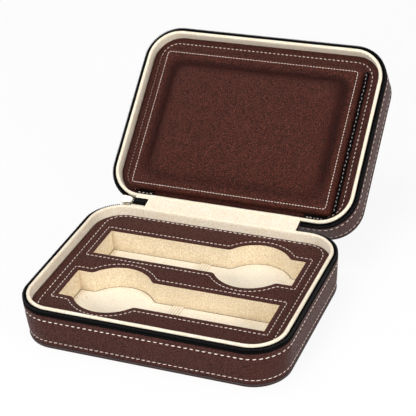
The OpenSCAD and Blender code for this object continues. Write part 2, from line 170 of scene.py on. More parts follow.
class Nodes:
    """A short hand for laying nodes in one tree."""

    def __init__(self, tree: bpy.types.NodeTree) -> None:
        """Starts on an empty tree."""
        self.tree = tree
        tree.nodes.clear()

    def add(self, kind: str, **values: object) -> bpy.types.Node:
        """Adds a node and sets its properties and sockets.

        Args:
            kind: the node's type name without its ShaderNode prefix, or its full type name.
            values: properties by name, or inputs by their label with spaces as underscores.

        Returns:
            The new node.
        """
        full = kind if kind.startswith(("Node", "Shader")) else "ShaderNode" + kind
        node = self.tree.nodes.new(full)
        for key, value in values.items():
            if hasattr(node, key):
                setattr(node, key, value)
            else:
                node.inputs[key.replace("_", " ")].default_value = value
        return node

    def link(self, source: bpy.types.Node, out: str | int, target: bpy.types.Node, into: str | int) -> None:
        """Links an output to an input."""
        self.tree.links.new(source.outputs[out], target.inputs[into])

    def fed(self, source: bpy.types.Node, out: str | int, kind: str, into: str | int = "Vector",
            **values: object) -> bpy.types.Node:
        """Adds a node that takes one output of another.

        Args:
            source: the node that feeds it.
            out: the output's name or number.
            kind: the new node's type.
            into: the input that is fed.
            values: the new node's properties and other inputs.

        Returns:
            The new node.
        """
        node = self.add(kind, **values)
        self.link(source, out, node, into)
        return node

    def maths(self, operation: str, a: object, b: object) -> bpy.types.Node:
        """Adds a Math node.

        Args:
            operation: what it works out.
            a: its first input, a number or a (node, output) pair.
            b: its second input, likewise.

        Returns:
            The new node.
        """
        node = self.add("Math", operation=operation)
        for k, value in enumerate((a, b)):
            if isinstance(value, tuple):
                self.link(*value, node, k)
            else:
                node.inputs[k].default_value = value
        return node

    def weighed(self, source: bpy.types.Node, shares: dict[str, float]) -> bpy.types.Node:
        """Adds up some outputs of a node, each times its share.

        Args:
            source: the node.
            shares: the share of each output by its name.

        Returns:
            The node whose first output is the sum.
        """
        total, *others = (self.maths("MULTIPLY", (source, out), share) for out, share in shares.items())
        for part in others:
            total = self.maths("ADD", (total, 0), (part, 0))
        return total


def new_group(name: str, inputs: dict[str, float], outputs: tuple[str, ...]) -> tuple[Nodes, object, object]:
    """Starts a shader node group.

    Args:
        name: the group's name.
        inputs: its float inputs and their defaults.
        outputs: names of its float outputs.

    Returns:
        The node helper, the group's input node and its output node.
    """
    tree = bpy.data.node_groups.new(name, "ShaderNodeTree")
    for label, value in inputs.items():
        tree.interface.new_socket(label, in_out="INPUT", socket_type="NodeSocketFloat").default_value = value
    for label in outputs:
        tree.interface.new_socket(label, in_out="OUTPUT", socket_type="NodeSocketFloat")
    nodes = Nodes(tree)
    return nodes, nodes.add("NodeGroupInput"), nodes.add("NodeGroupOutput")


def pebble_group() -> bpy.types.NodeTree:
    """Pebbled leather grain: rounded cells with creases between them, warped so that they run unevenly.

    Returns:
        The node group.
    """
    n, gin, gout = new_group("pebble_grain", {"Scale": 900.0, "Crease": 0.3},
                             ("Height", "Crease", "Cell", "Mottle"))
    coord = n.add("TexCoord")
    grain = n.fed(coord, "Object", "Mapping", vector_type="TEXTURE", Rotation=(0, 0, math.radians(-18)),
                  Scale=(1.7, 0.8, 1))
    warp = n.fed(coord, "Object", "TexNoise", Scale=260.0, Detail=2.0)
    shift = n.fed(warp, "Color", "VectorMath", 0, operation="SCALE", Scale=0.0011)
    moved = n.fed(grain, "Vector", "VectorMath", 0, operation="ADD")
    n.link(shift, 0, moved, 1)
    cells = n.fed(moved, 0, "TexVoronoi", feature="DISTANCE_TO_EDGE")
    rounded = n.fed(cells, "Distance", "MapRange", "Value", interpolation_type="SMOOTHSTEP")
    n.link(gin, "Crease", rounded, "From Max")
    patches = n.fed(moved, 0, "TexVoronoi", feature="F1")
    for voronoi in (cells, patches):
        n.link(gin, "Scale", voronoi, "Scale")
    single = n.fed(patches, "Color", "SeparateColor", 0)
    fine = n.fed(coord, "Object", "TexNoise", Scale=3200.0, Detail=2.0)
    pores = n.maths("MULTIPLY", (fine, "Fac"), 0.25)
    height = n.maths("ADD", (rounded, "Result"), (pores, 0))
    mottle = n.fed(coord, "Object", "TexNoise", Scale=38.0, Detail=4.0, Roughness=0.6)
    n.link(height, 0, gout, "Height")
    n.link(rounded, "Result", gout, "Crease")
    n.link(single, 0, gout, "Cell")
    n.link(mottle, "Fac", gout, "Mottle")
    return n.tree


def nap_group() -> bpy.types.NodeTree:
    """Nap of suede and velvet: fine fibres, soft brushed patches and darker specks.

    Returns:
        The node group.
    """
    n, gin, gout = new_group("cloth_nap", {"Scale": 2600.0}, ("Height", "Patch", "Speck"))
    coord = n.add("TexCoord")
    fibres = n.fed(coord, "Object", "TexNoise", Detail=3.0, Roughness=0.7)
    n.link(gin, "Scale", fibres, "Scale")
    patch = n.fed(coord, "Object", "TexNoise", Scale=70.0, Detail=3.0)
    speck = n.fed(coord, "Object", "TexNoise", Scale=1100.0, Detail=1.0)
    spread = n.fed(speck, "Fac", "MapRange", "Value", From_Min=0.42, From_Max=0.62)
    n.link(fibres, "Fac", gout, "Height")
    n.link(patch, "Fac", gout, "Patch")
    n.link(spread, "Result", gout, "Speck")
    return n.tree


def weave_group() -> bpy.types.NodeTree:
    """Plain weave of tape and elastic: crossed threads at the given pitch.

    Returns:
        The node group.
    """
    n, gin, gout = new_group("plain_weave", {"Scale": 500.0}, ("Height",))
    coord = n.add("TexCoord")
    crossed = [n.fed(coord, "Object", "TexWave", wave_type="BANDS", bands_direction=axis, Distortion=0.4)
               for axis in "XY"]
    for wave in crossed:
        n.link(gin, "Scale", wave, "Scale")
    both = n.maths("MULTIPLY", (crossed[0], "Fac"), (crossed[1], "Fac"))
    n.link(both, 0, gout, "Height")
    return n.tree


class Pattern(Enum):
    """The surface pattern of a finish, by the node group that draws it."""

    PEBBLE = "pebble_grain"
    NAP = "cloth_nap"
    WEAVE = "plain_weave"
    NOISE = "fine_noise"


# How far each output of a shared group carries the colour from a finish's dark end to its light end.
TONE_SHARES = {
    Pattern.PEBBLE: {"Crease": 0.8, "Cell": 0.06, "Mottle": 0.1},
    Pattern.NAP: {"Patch": 0.5, "Speck": 0.75},
    Pattern.WEAVE: {"Height": 1.0},
}
# What the low and the high end of a pattern add to its finish's own roughness.
PEBBLE_ROUGHNESS = (0.2, -0.08)
NOISE_ROUGHNESS = (-0.06, 0.08)
SHEEN_ROUGHNESS = 0.4
# Inputs and outputs of a Mix node that mixes colours.
MIX_FACTOR, MIX_FIRST, MIX_SECOND, MIX_RESULT = 0, 6, 7, 2


@dataclass(frozen=True)
class Finish:
    """One finish of the case.

    Colours are linear. light and dark are the two ends of the colour's own variation. The third colour is
    painted
    shade: it darkens the colour where the piece's own shade attribute marks a valley or a groove, where shade
    falls.
    """

    name: str
    light: Colour
    dark: Colour
    pattern: Pattern
    scale: float
    bump: float
    roughness: float
    depth: float = 0.0002
    metallic: float = 0.0
    sheen: float = 0.0
    specular: float = 0.5
    painted_shade: Colour = (1.0, 1.0, 1.0)

    def build(self, groups: dict[Pattern, bpy.types.NodeTree]) -> bpy.types.Material:
        """Builds the material.

        Args:
            groups: the shared node groups by pattern.

        Returns:
            The finished material.
        """
        mat = bpy.data.materials.new(self.name)
        mat.use_nodes = True
        n = Nodes(mat.node_tree)
        out = n.add("OutputMaterial")
        shader = n.add("BsdfPrincipled", Roughness=self.roughness, Metallic=self.metallic)
        shader.inputs["Specular IOR Level"].default_value = self.specular
        if self.sheen:
            shader.inputs["Sheen Weight"].default_value = self.sheen
            shader.inputs["Sheen Roughness"].default_value = SHEEN_ROUGHNESS
        n.link(shader, 0, out, 0)
        mix = n.add("Mix", data_type="RGBA")
        mix.inputs[MIX_FIRST].default_value = (*self.dark, 1)
        mix.inputs[MIX_SECOND].default_value = (*self.light, 1)
        n.link(self._with_painted_shade(n, mix), MIX_RESULT, shader, "Base Color")
        bump = n.add("Bump", Strength=self.bump, Distance=self.depth)
        n.link(bump, 0, shader, "Normal")
        if self.pattern is Pattern.NOISE:
            self._noise(n, mix, bump, shader)
        else:
            self._grouped(n, groups[self.pattern], mix, bump, shader)
        return mat

    def _with_painted_shade(self, n: Nodes, mix: bpy.types.Node) -> bpy.types.Node:
        """The colour with painted shade: drawn darker where the piece's shade attribute marks a valley or a
        groove.

        Args:
            n: the material's node helper.
            mix: the node that mixes the two ends of the colour.

        Returns:
            The Mix node whose result is the colour.
        """
        if min(self.painted_shade) == 1.0:
            return mix
        painted_shade = n.add("Attribute", attribute_name="painted_shade")
        dark = n.fed(painted_shade, "Fac", "Mix", MIX_FACTOR, data_type="RGBA", blend_type="MULTIPLY")
        dark.inputs[MIX_SECOND].default_value = (*self.painted_shade, 1)
        n.link(mix, MIX_RESULT, dark, MIX_FIRST)
        return dark

    def _noise(self, n: Nodes, mix: bpy.types.Node, bump: bpy.types.Node, shader: bpy.types.Node) -> None:
        """Draws fine even noise, for metal, plastic, thread, board and foam.

        Args:
            n: the material's node helper.
            mix: the node that mixes the two ends of the colour.
            bump: the node that makes the relief.
            shader: the surface's shader.
        """
        coord = n.add("TexCoord")
        noise_node = n.fed(coord, "Object", "TexNoise", Scale=self.scale, Detail=3.0)
        n.link(noise_node, "Fac", mix, MIX_FACTOR)
        n.link(noise_node, "Fac", bump, "Height")
        self._roughen(n, noise_node, "Fac", NOISE_ROUGHNESS, shader)

    def _grouped(self, n: Nodes, tree: bpy.types.NodeTree, mix: bpy.types.Node, bump: bpy.types.Node,
                 shader: bpy.types.Node) -> None:
        """Draws the pattern of one of the shared groups.

        Args:
            n: the material's node helper.
            tree: the shared group.
            mix: the node that mixes the two ends of the colour.
            bump: the node that makes the relief.
            shader: the surface's shader.
        """
        group = n.add("Group", node_tree=tree)
        group.inputs["Scale"].default_value = self.scale
        n.link(group, "Height", bump, "Height")
        n.link(n.weighed(group, TONE_SHARES[self.pattern]), 0, mix, MIX_FACTOR)
        if self.pattern is Pattern.PEBBLE:
            self._roughen(n, group, "Crease", PEBBLE_ROUGHNESS, shader)

    def _roughen(self, n: Nodes, source: bpy.types.Node, out: str, ends: tuple[float, float],
                 shader: bpy.types.Node) -> None:
        """Lets the roughness follow a pattern.

        Args:
            n: the material's node helper.
            source: the node that draws the pattern.
            out: its output that runs from 0 to 1.
            ends: what 0 and 1 add to the finish's own roughness.
            shader: the surface's shader.
        """
        low, high = (self.roughness + end for end in ends)
        rough = n.fed(source, out, "MapRange", "Value", To_Min=low, To_Max=high)
        n.link(rough, "Result", shader, "Roughness")


LEATHER = Finish("leatherette_brown", srgb(94, 51, 43), srgb(46, 20, 15), Pattern.PEBBLE,
                 scale=860, bump=1.0, roughness=0.4, depth=0.0003, specular=0.12)
# The cushion's third colour is painted shade, drawn into its valley where shade falls.
CUSHION = Finish("leatherette_cushion", srgb(107, 54, 42), srgb(30, 8, 5), Pattern.PEBBLE,
                 scale=800, bump=1.0, roughness=0.35, depth=0.0004, specular=0.12, painted_shade=(0.34, 0.17, 0.12))
PANEL = Finish("leatherette_panel", srgb(86, 46, 38), srgb(40, 17, 13), Pattern.PEBBLE,
               scale=860, bump=1.0, roughness=0.42, depth=0.0003, specular=0.12)
SUEDE = Finish("cream_suede", srgb(253, 246, 230), srgb(236, 220, 194), Pattern.NAP,
               scale=2600, bump=0.4, roughness=0.95, depth=0.0002, sheen=0.25)
LINING = Finish("cream_lining", srgb(253, 244, 226), srgb(237, 216, 184), Pattern.NAP,
                scale=2600, bump=0.4, roughness=0.95, depth=0.0002, sheen=0.25)
VELVET = Finish("tan_velvet", srgb(244, 230, 203), srgb(212, 190, 153), Pattern.NAP,
                scale=2200, bump=0.5, roughness=0.95, depth=0.00025, sheen=0.2)
# The elastic's third colour is painted shade, drawn into the grooves between its ribs.
ELASTIC = Finish("ribbed_elastic", srgb(255, 254, 246), srgb(240, 228, 204), Pattern.WEAVE,
                 scale=700, bump=0.4, roughness=0.9, painted_shade=(0.66, 0.52, 0.33))
# Black tape: the zip's real tape, and also the black sheets of painted shade beside the cushion and at the
# hinge's ends.
BLACK_TAPE_AND_SHADE = Finish("black_tape_and_shade", srgb(16, 14, 15), srgb(3, 3, 3), Pattern.WEAVE,
              scale=800, bump=0.5, roughness=0.9, specular=0.06)
COIL = Finish("black_nylon", srgb(18, 16, 17), srgb(5, 4, 5), Pattern.NOISE,
              scale=900, bump=0.15, roughness=0.5, depth=0.0001, specular=0.15)
PIPING = Finish("dark_piping", srgb(48, 26, 24), srgb(24, 12, 12), Pattern.PEBBLE,
                scale=1400, bump=0.4, roughness=0.45, depth=0.0002)
THREAD = Finish("cream_thread", srgb(255, 243, 232), srgb(226, 204, 190), Pattern.NOISE,
                scale=3800, bump=0.6, roughness=0.8, depth=0.0001)
# A grey copy of the cream thread: painted shade, for the whip stitches in the shadow beside the cushion.
SHADED_GREY_THREAD = Finish("painted_shade_grey_thread", srgb(196, 190, 188), srgb(120, 112, 112), Pattern.NOISE,
                     scale=3800, bump=0.6, roughness=0.8, depth=0.0001)
# A brown copy of the cream thread: painted shade, for the facing's row on the lid's shaded left side.
SHADED_BROWN_THREAD = Finish("painted_shade_brown_thread", srgb(196, 156, 142), srgb(128, 92, 82), Pattern.NOISE,
                      scale=3800, bump=0.6, roughness=0.8, depth=0.0001)
NICKEL = Finish("pale_nickel", srgb(240, 235, 224), srgb(214, 207, 193), Pattern.NOISE,
                scale=420, bump=0.08, roughness=0.36, depth=0.00005, metallic=1.0)
BOARD = Finish("grey_board", srgb(170, 160, 146), srgb(140, 130, 116), Pattern.NOISE,
               scale=1800, bump=0.3, roughness=0.9)
FOAM = Finish("dark_foam", srgb(70, 70, 74), srgb(44, 44, 48), Pattern.NOISE,
              scale=1500, bump=0.5, roughness=0.95)
FINISHES = (LEATHER, CUSHION, PANEL, SUEDE, LINING, VELVET, ELASTIC, BLACK_TAPE_AND_SHADE, COIL, PIPING, THREAD, SHADED_GREY_THREAD,
            SHADED_BROWN_THREAD, NICKEL, BOARD, FOAM)


class Wardrobe:
    """Holds the built materials and puts them on pieces."""

    def __init__(self) -> None:
        """Builds the shared groups and every finish once."""
        groups = {Pattern.PEBBLE: pebble_group(), Pattern.NAP: nap_group(), Pattern.WEAVE: weave_group()}
        self.materials = {f.name: f.build(groups) for f in FINISHES}

    def dress(self, obj: bpy.types.Object, finish: Finish) -> None:
        """Gives a whole object one finish."""
        obj.data.materials.clear()
        obj.data.materials.append(self.materials[finish.name])

    def dress_nodes(self, finish: Finish, *names: str) -> None:
        """Gives CAD nodes a finish through their object's own material slots.

        Args:
            finish: the finish.
            names: the nodes that wear it.
        """
        for name in names:
            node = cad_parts[name]
            for k in range(max(1, len(node.material_slots))):
                if not node.material_slots:
                    node.data.materials.append(self.materials[finish.name])
                node.material_slots[k].link = "OBJECT"
                node.material_slots[k].material = self.materials[finish.name]

    def hand_over(self, obj: bpy.types.Object, finish: Finish, half: Half, slot: str, *nodes: str) -> None:
        """Dresses a finished piece and tells the frame where it belongs.

        Args:
            obj: the piece, in the part's frame.
            finish: its finish.
            half: the half that it rides on.
            slot: its kind of surface; not used.
            nodes: the CAD nodes that it stands in for.
        """
        self.dress(obj, finish)
        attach(obj, half.value)
        if nodes:
            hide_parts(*nodes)
        LOG.info("%s: %d faces", obj.name, len(obj.data.polygons))

    def place(self, obj: bpy.types.Object, finish: Finish, half: Half, slot: str, *nodes: str) -> None:
        """Moves a piece from its half's drawing frame to the part's frame and hands it over.

        Args:
            obj: the piece, in the half's drawing frame.
            finish: its finish.
            half: the half that it rides on.
            slot: its kind of surface.
            nodes: the CAD nodes that it stands in for.
        """
        to_part_frame(obj, half)
        self.hand_over(obj, finish, half, slot, *nodes)


# ---------------------------------------------------------------------------------------------
# Mesh making
# ---------------------------------------------------------------------------------------------


def deselect() -> None:
    """Leaves edit mode and deselects every object."""
    if bpy.context.object and bpy.context.object.mode != "OBJECT":
        bpy.ops.object.mode_set(mode="OBJECT")
    bpy.ops.object.select_all(action="DESELECT")


def make_active(obj: bpy.types.Object) -> None:
    """Selects one object alone and makes it active.

    Args:
        obj: the object.
    """
    deselect()
    obj.select_set(True)
    bpy.context.view_layer.objects.active = obj


def edit(obj: bpy.types.Object) -> None:
    """Opens an object in edit mode with everything selected.

    Args:
        obj: the object.
    """
    make_active(obj)
    bpy.ops.object.mode_set(mode="EDIT")
    bpy.ops.mesh.select_all(action="SELECT")


def close_edit() -> None:
    """Merges doubles, turns all faces outwards and leaves edit mode."""
    bpy.ops.mesh.select_all(action="SELECT")
    bpy.ops.mesh.remove_doubles(threshold=MERGE)
    bpy.ops.mesh.normals_make_consistent(inside=False)
    bpy.ops.object.mode_set(mode="OBJECT")


def apply_modifier(obj: bpy.types.Object, kind: str, **settings: object) -> None:
    """Adds a modifier and applies it at once.

    Args:
        obj: the object that it shapes.
        kind: the modifier's type.
        settings: its properties.
    """
    make_active(obj)
    modifier = obj.modifiers.new(kind.lower(), kind)
    for key, value in settings.items():
        setattr(modifier, key, value)
    bpy.ops.object.modifier_apply(modifier=modifier.name)


def smooth(obj: bpy.types.Object, degrees: float) -> None:
    """Shades smooth, keeping edges sharper than the given angle."""
    make_active(obj)
    bpy.ops.object.shade_smooth_by_angle(angle=math.radians(degrees))


def to_part_frame(obj: bpy.types.Object, half: Half) -> None:
    """Moves a mesh from a half's drawing frame to the part's frame, leaving the object at the origin.

    Args:
        obj: the object.
        half: the half whose drawing frame it is in.
    """
    obj.data.transform(SHELL.placement(half))
    if half is Half.LID:
        obj.data.flip_normals()


def new_piece(name: str) -> bpy.types.Object:
    """Names the primitive that was just added.

    Args:
        name: the name of the object and its mesh.

    Returns:
        The object.
    """
    obj = bpy.context.object
    obj.name = obj.data.name = name
    return obj


def put_points(obj: bpy.types.Object, points: list[Point3]) -> None:
    """Moves an object's points, in their order, to places in millimetres."""
    for vertex, point in zip(obj.data.vertices, points):
        vertex.co = [c * MM for c in point]


def flat_grid(name: str, columns: int, rows: int) -> bpy.types.Object:
    """Adds a grid one metre square, to be shaped by moving its points.

    Args:
        name: the new object's name.
        columns: its cells along X.
        rows: its cells along Y.

    Returns:
        The object.
    """
    deselect()
    bpy.ops.mesh.primitive_grid_add(x_subdivisions=columns, y_subdivisions=rows, size=1)
    return new_piece(name)


def unit_block(name: str) -> bpy.types.Object:
    """Adds a cube of one metre about the origin, to be shaped by moving its points.

    Args:
        name: the new object's name.

    Returns:
        The object.
    """
    deselect()
    bpy.ops.mesh.primitive_cube_add(size=1, location=(0, 0, 0))
    return new_piece(name)


def ripple(obj: bpy.types.Object, name: str, size: float, height: float) -> None:
    """Ripples a piece of cloth a little.

    Args:
        obj: the piece.
        name: the name of the ripples' texture.
        size: the ripples' size in metres.
        height: from their lowest to their highest point, in metres.
    """
    wave = bpy.data.textures.new(name, "CLOUDS")
    wave.noise_scale = size
    apply_modifier(obj, "DISPLACE", texture=wave, strength=height, mid_level=0.5)


@dataclass(frozen=True)
class Move:
    """One stretch of a route: a straight run, or a turn about a centre when angle isn't 0."""

    x: float
    y: float
    angle: float = 0.0
    steps: int = 10


@dataclass(frozen=True)
class Route:
    """A route round the case's outline, from a start point with its inward direction."""

    start: Point2
    inward: Point2
    moves: tuple[Move, ...]
    closed: bool

    def first(self, inset: float) -> Point2:
        """The route's first point at an inset from the outer face."""
        return self.start[0] + self.inward[0] * inset, self.start[1] + self.inward[1] * inset

    def line(self, inset: float, z: float) -> list[Point3]:
        """The points of an open route.

        Args:
            inset: their distance in from the outer face.
            z: their height.

        Returns:
            One point at the start and one after each step.
        """
        x, y = self.first(inset)
        points = [(x, y, z)]
        for move in self.moves:
            turn = math.radians(move.angle / move.steps)
            for _ in range(move.steps):
                if move.angle:
                    dx, dy = x - move.x, y - move.y
                    x = move.x + dx * math.cos(turn) - dy * math.sin(turn)
                    y = move.y + dx * math.sin(turn) + dy * math.cos(turn)
                else:
                    x, y = x + move.x / move.steps, y + move.y / move.steps
                points.append((x, y, z))
        return points


def ring_route() -> Route:
    """The whole outline, anticlockwise from the right side's front end.

    Returns:
        A closed route.
    """
    hx, hy = SHELL.width / 2 - SHELL.corner, SHELL.depth / 2 - SHELL.corner
    moves = (Move(0, 2 * hy, steps=24), Move(hx, hy, 90, 14), Move(-2 * hx, 0, steps=36),
             Move(-hx, hy, 90, 14), Move(0, -2 * hy, steps=24), Move(-hx, -hy, 90, 14),
             Move(2 * hx, 0, steps=36), Move(hx, -hy, 90, 14))
    return Route((SHELL.width / 2, -hy), (-1, 0), moves, True)


def zip_route() -> Route:
    """The zip's run, clockwise from the right end of the soft hinge to the slider.

    Returns:
        An open route.
    """
    hx, hy = SHELL.width / 2 - SHELL.corner, SHELL.depth / 2 - SHELL.corner
    reach = math.degrees(math.asin((SHELL.ring_end - hx) / SHELL.corner))
    moves = (Move(hx - SHELL.hinge_half, 0, steps=3), Move(hx, hy, -90, 14), Move(0, -2 * hy, steps=24),
             Move(hx, -hy, -90, 14), Move(-2 * hx, 0, steps=36), Move(-hx, -hy, -90, 14),
             Move(0, 2 * hy, steps=24), Move(-hx, hy, reach - 90, 11))
    return Route((SHELL.hinge_half, SHELL.depth / 2), (0, -1), moves, False)


def sweep(name: str, section: list[Point2], route: Route) -> bpy.types.Object:
    """Sweeps a closed wall section along a route by extruding its sides and spinning its corners.

    Args:
        name: the new object's name.
        section: corners of the section as (inset from the outer face, height) in millimetres.
        route: where it runs.

    Returns:
        The swept object, in the drawing frame.
    """
    deselect()
    bpy.ops.mesh.primitive_circle_add(vertices=len(section), radius=1, location=(0, 0, 0))
    obj = new_piece(name)
    put_points(obj, [(*route.first(inset), z) for inset, z in section])
    edit(obj)
    if not route.closed:
        bpy.ops.mesh.edge_face_add()
    for move in route.moves:
        if move.angle:
            bpy.ops.mesh.spin(steps=move.steps, angle=math.radians(move.angle),
                              center=(move.x * MM, move.y * MM, 0), axis=(0, 0, -1))
        else:
            step = (move.x * MM / move.steps, move.y * MM / move.steps, 0)
            for _ in range(move.steps):
                bpy.ops.mesh.extrude_region_move(TRANSFORM_OT_translate={"value": step})
    close_edit()
    return obj


def wrapped_rings(name: str, rings: list[list[Point3]], close_section: bool = False) -> bpy.types.Object:
    """Lays a grid through closed rings of points and joins its seam.

    Args:
        name: the new object's name.
        rings: rings of equally many points, each left open, in millimetres.
        close_section: whether the last ring joins the first.

    Returns:
        The object, in the drawing frame.
    """
    rows = rings + rings[:1] if close_section else rings
    obj = flat_grid(name, len(rows[0]), len(rows) - 1)
    put_points(obj, [point for ring in rows for point in ring + ring[:1]])
    edit(obj)
    close_edit()
    return obj


def fill_rim(obj: bpy.types.Object, low: float, high: float) -> None:
    """Fills the open edges that lie between two heights with one skin.

    Args:
        obj: the object, whose mesh is in its drawing frame.
        low: the lowest height of the edges, in millimetres.
        high: the highest.
    """
    edit(obj)
    bpy.ops.mesh.select_mode(type="EDGE")
    bpy.ops.mesh.select_all(action="DESELECT")
    bpy.ops.object.mode_set(mode="OBJECT")
    uses: dict[tuple[int, int], int] = {}
    for polygon in obj.data.polygons:
        for key in polygon.edge_keys:
            uses[key] = uses.get(key, 0) + 1
    for edge in obj.data.edges:
        heights = [obj.data.vertices[v].co.z / MM for v in edge.vertices]
        edge.select = uses[edge.key] == 1 and min(heights) > low and max(heights) < high
    bpy.ops.object.mode_set(mode="EDIT")
    bpy.ops.mesh.fill(use_beauty=True)
    close_edit()


def join(objects: list[bpy.types.Object], name: str) -> bpy.types.Object:
    """Joins objects into one.

    Args:
        objects: the objects, of which the first stays and takes in the others.
        name: the name of the joined object.

    Returns:
        The joined object.
    """
    deselect()
    for obj in objects:
        obj.select_set(True)
    bpy.context.view_layer.objects.active = objects[0]
    bpy.ops.object.join()
    objects[0].name = objects[0].data.name = name
    return objects[0]


def bell(x: float, middle: float, width: float) -> float:
    """A smooth bump that is 1 at the middle and dies away over the width."""
    return math.exp(-((x - middle) / width) ** 2)


def climb(x: float, middle: float, width: float) -> float:
    """A smooth climb from 0 to 1 about the middle, over a few times the width."""
    return 1 / (1 + math.exp(-(x - middle) / width))


def line_points(a: Point2, b: Point2, n: int) -> list[Point2]:
    """n points from a towards b, without b."""
    return [(a[0] + (b[0] - a[0]) * k / n, a[1] + (b[1] - a[1]) * k / n) for k in range(n)]


def arc_points(c: Point2, r: float, start: float, stop: float, n: int) -> list[Point2]:
    """n points round an arc about c, without its last."""
    return [(c[0] + r * math.cos(start + (stop - start) * k / n),
             c[1] + r * math.sin(start + (stop - start) * k / n)) for k in range(n)]


def rounded_rect(half_x: float, half_y: float, radius: float, centre: Point2 = (0, 0),
                 turns: int = 10, side: int = 12) -> list[Point2]:
    """Points round a rounded rectangle, anticlockwise from the right side's front end.

    Args:
        half_x: half its width.
        half_y: half its depth.
        radius: radius of its corners.
        centre: its middle.
        turns: points in each corner.
        side: points along each side.

    Returns:
        The points, with no repeat of the first.
    """
    cx, cy = half_x - radius, half_y - radius
    corners = (((cx, cy), (half_x, cy)), ((-cx, cy), (-cx, half_y)),
               ((-cx, -cy), (-half_x, -cy)), ((cx, -cy), (cx, -half_y)))
    ends = ((half_x, -cy), (cx, half_y), (-half_x, cy), (-cx, -half_y))
    points: list[Point2] = []
    for k, ((middle, first), last) in enumerate(zip(corners, ends)):
        start = k * math.pi / 2
        points += line_points(last, first, side)
        points += arc_points(middle, radius, start, start + math.pi / 2, turns)
    return [(x + centre[0], y + centre[1]) for x, y in points]


# ---------------------------------------------------------------------------------------------
# Stitching
# ---------------------------------------------------------------------------------------------


@dataclass(frozen=True)
class Stitch:
    """The size of one stitch, the step to the next and the row's unevenness, in millimetres and degrees."""

    length: float = 2.9
    pitch: float = 4.4
    width: float = 0.75
    height: float = 0.55
    sink: float = 0.12
    slant: float = 5.0
    zigzag: float = 0.0
    sway: float = 0.0
    droop: float = 0.35
    wobble: float = 3.0
    sizes: tuple[float, float] = (0.92, 1.05)

    def master(self) -> tuple[np.ndarray, list[tuple[int, ...]]]:
        """One stitch, lying along X with its normal along Z and its ends drawn down.

        Returns:
            Its vertices in millimetres and its faces.
        """
        deselect()
        bpy.ops.mesh.primitive_uv_sphere_add(segments=8, ring_count=6, radius=1)
        obj = bpy.context.object
        edit(obj)
        bpy.ops.transform.rotate(value=math.radians(90), orient_axis="Y", center_override=(0, 0, 0))
        bpy.ops.transform.resize(value=(self.length / 2, self.width / 2, self.height / 2),
                                 center_override=(0, 0, 0))
        bpy.ops.object.mode_set(mode="OBJECT")
        vertices = np.array([v.co for v in obj.data.vertices], float)
        vertices[:, 2] -= self.droop * self.height * (2 * vertices[:, 0] / self.length) ** 4
        faces = [tuple(p.vertices) for p in obj.data.polygons]
        bpy.data.objects.remove(obj)
        return vertices, faces


class StitchLine:
    """The line that a row of stitches follows, in millimetres, with the surface's normals along it."""

    def __init__(self, line: list[Point3], normals: list[Point3], closed: bool) -> None:
        """Measures the line.

        Args:
            line: its points.
            normals: the surface's normal at each point.
            closed: whether the line returns to its start.
        """
        self.points = np.array(line + line[:1] if closed else line, float)
        self.normals = np.array(normals + normals[:1] if closed else normals, float)
        self.lengths = np.concatenate([[0], np.cumsum(np.linalg.norm(np.diff(self.points, axis=0), axis=1))])
        self.closed = closed

    @property
    def total(self) -> float:
        """The line's whole length."""
        return self.lengths[-1]

    def _at(self, values: np.ndarray, s: float) -> np.ndarray:
        """Value at a distance along the line.

        Args:
            values: the value at each of the line's points.
            s: the distance.

        Returns:
            The value between the two nearest points.
        """
        s = s % self.total if self.closed else min(max(s, 0), self.total)
        return np.array([np.interp(s, self.lengths, values[:, k]) for k in range(3)])

    def chord(self, middle: float, reach: float) -> tuple[np.ndarray, np.ndarray, np.ndarray, np.ndarray]:
        """Where a stitch of the line lies.

        Args:
            middle: how far along the line its middle is.
            reach: how far it reaches, from end to end.

        Returns:
            Its middle, and the directions along it, across it and off the surface.
        """
        start, end = (self._at(self.points, middle + way * reach / 2) for way in (-1, 1))
        along = end - start
        along /= np.linalg.norm(along)
        across = np.cross(self._at(self.normals, middle), along)
        across /= np.linalg.norm(across)
        return (start + end) / 2, along, across, np.cross(along, across)


class Seam:
    """A row of stitches along a line."""

    def __init__(self, name: str, stitch: Stitch, seed: int) -> None:
        """Starts a row.

        Args:
            name: the row's object name.
            stitch: the size of its stitches.
            seed: the seed of their small unevenness.
        """
        self.name = name
        self.stitch = stitch
        self.chance = random.Random(seed)

    def lay(self, line: list[Point3], normals: list[Point3], closed: bool) -> bpy.types.Object:
        """Copies the stitch along a line of points.

        Args:
            line: points of the line in millimetres.
            normals: the surface's normal at each point.
            closed: whether the line returns to its start.

        Returns:
            One object that holds every stitch of the row.
        """
        run = StitchLine(line, normals, closed)
        count = max(1, round(run.total / self.stitch.pitch))
        pitch = run.total / count
        master, faces = self.stitch.master()
        vertices, polygons = [], []
        for k in range(count):
            chord = run.chord((k + 0.5) * pitch, self.stitch.length)
            vertices.append(self._placed(master, chord, 1 if k % 2 else -1))
            polygons += [tuple(k * len(master) + i for i in face) for face in faces]
        mesh = bpy.data.meshes.new(self.name)
        mesh.from_pydata((np.concatenate(vertices) * MM).tolist(), [], polygons)
        obj = bpy.data.objects.new(self.name, mesh)
        bpy.context.collection.objects.link(obj)
        smooth(obj, 180)
        return obj

    def _placed(self, master: np.ndarray, chord: tuple[np.ndarray, ...], side: int) -> np.ndarray:
        """Moves one stitch to its place, with a small unevenness of its own.

        Args:
            master: the stitch's vertices.
            chord: its middle, and the directions along it, across it and off the surface.
            side: 1 or -1, the way that it leans in a zigzag row.

        Returns:
            The vertices in their place.
        """
        middle, along, across, up = chord
        wobble = self.chance.uniform(-self.stitch.wobble, self.stitch.wobble)
        turn = math.radians(self.stitch.slant + side * self.stitch.zigzag + wobble)
        first = along * math.cos(turn) + across * math.sin(turn)
        second = across * math.cos(turn) - along * math.sin(turn)
        spot = middle + up * (self.stitch.height / 2 - self.stitch.sink)
        spot += across * self.stitch.sway * self.chance.uniform(-1, 1)
        size = self.chance.uniform(*self.stitch.sizes)
        return spot + size * (master[:, :1] * first + master[:, 1:2] * second + master[:, 2:] * up)


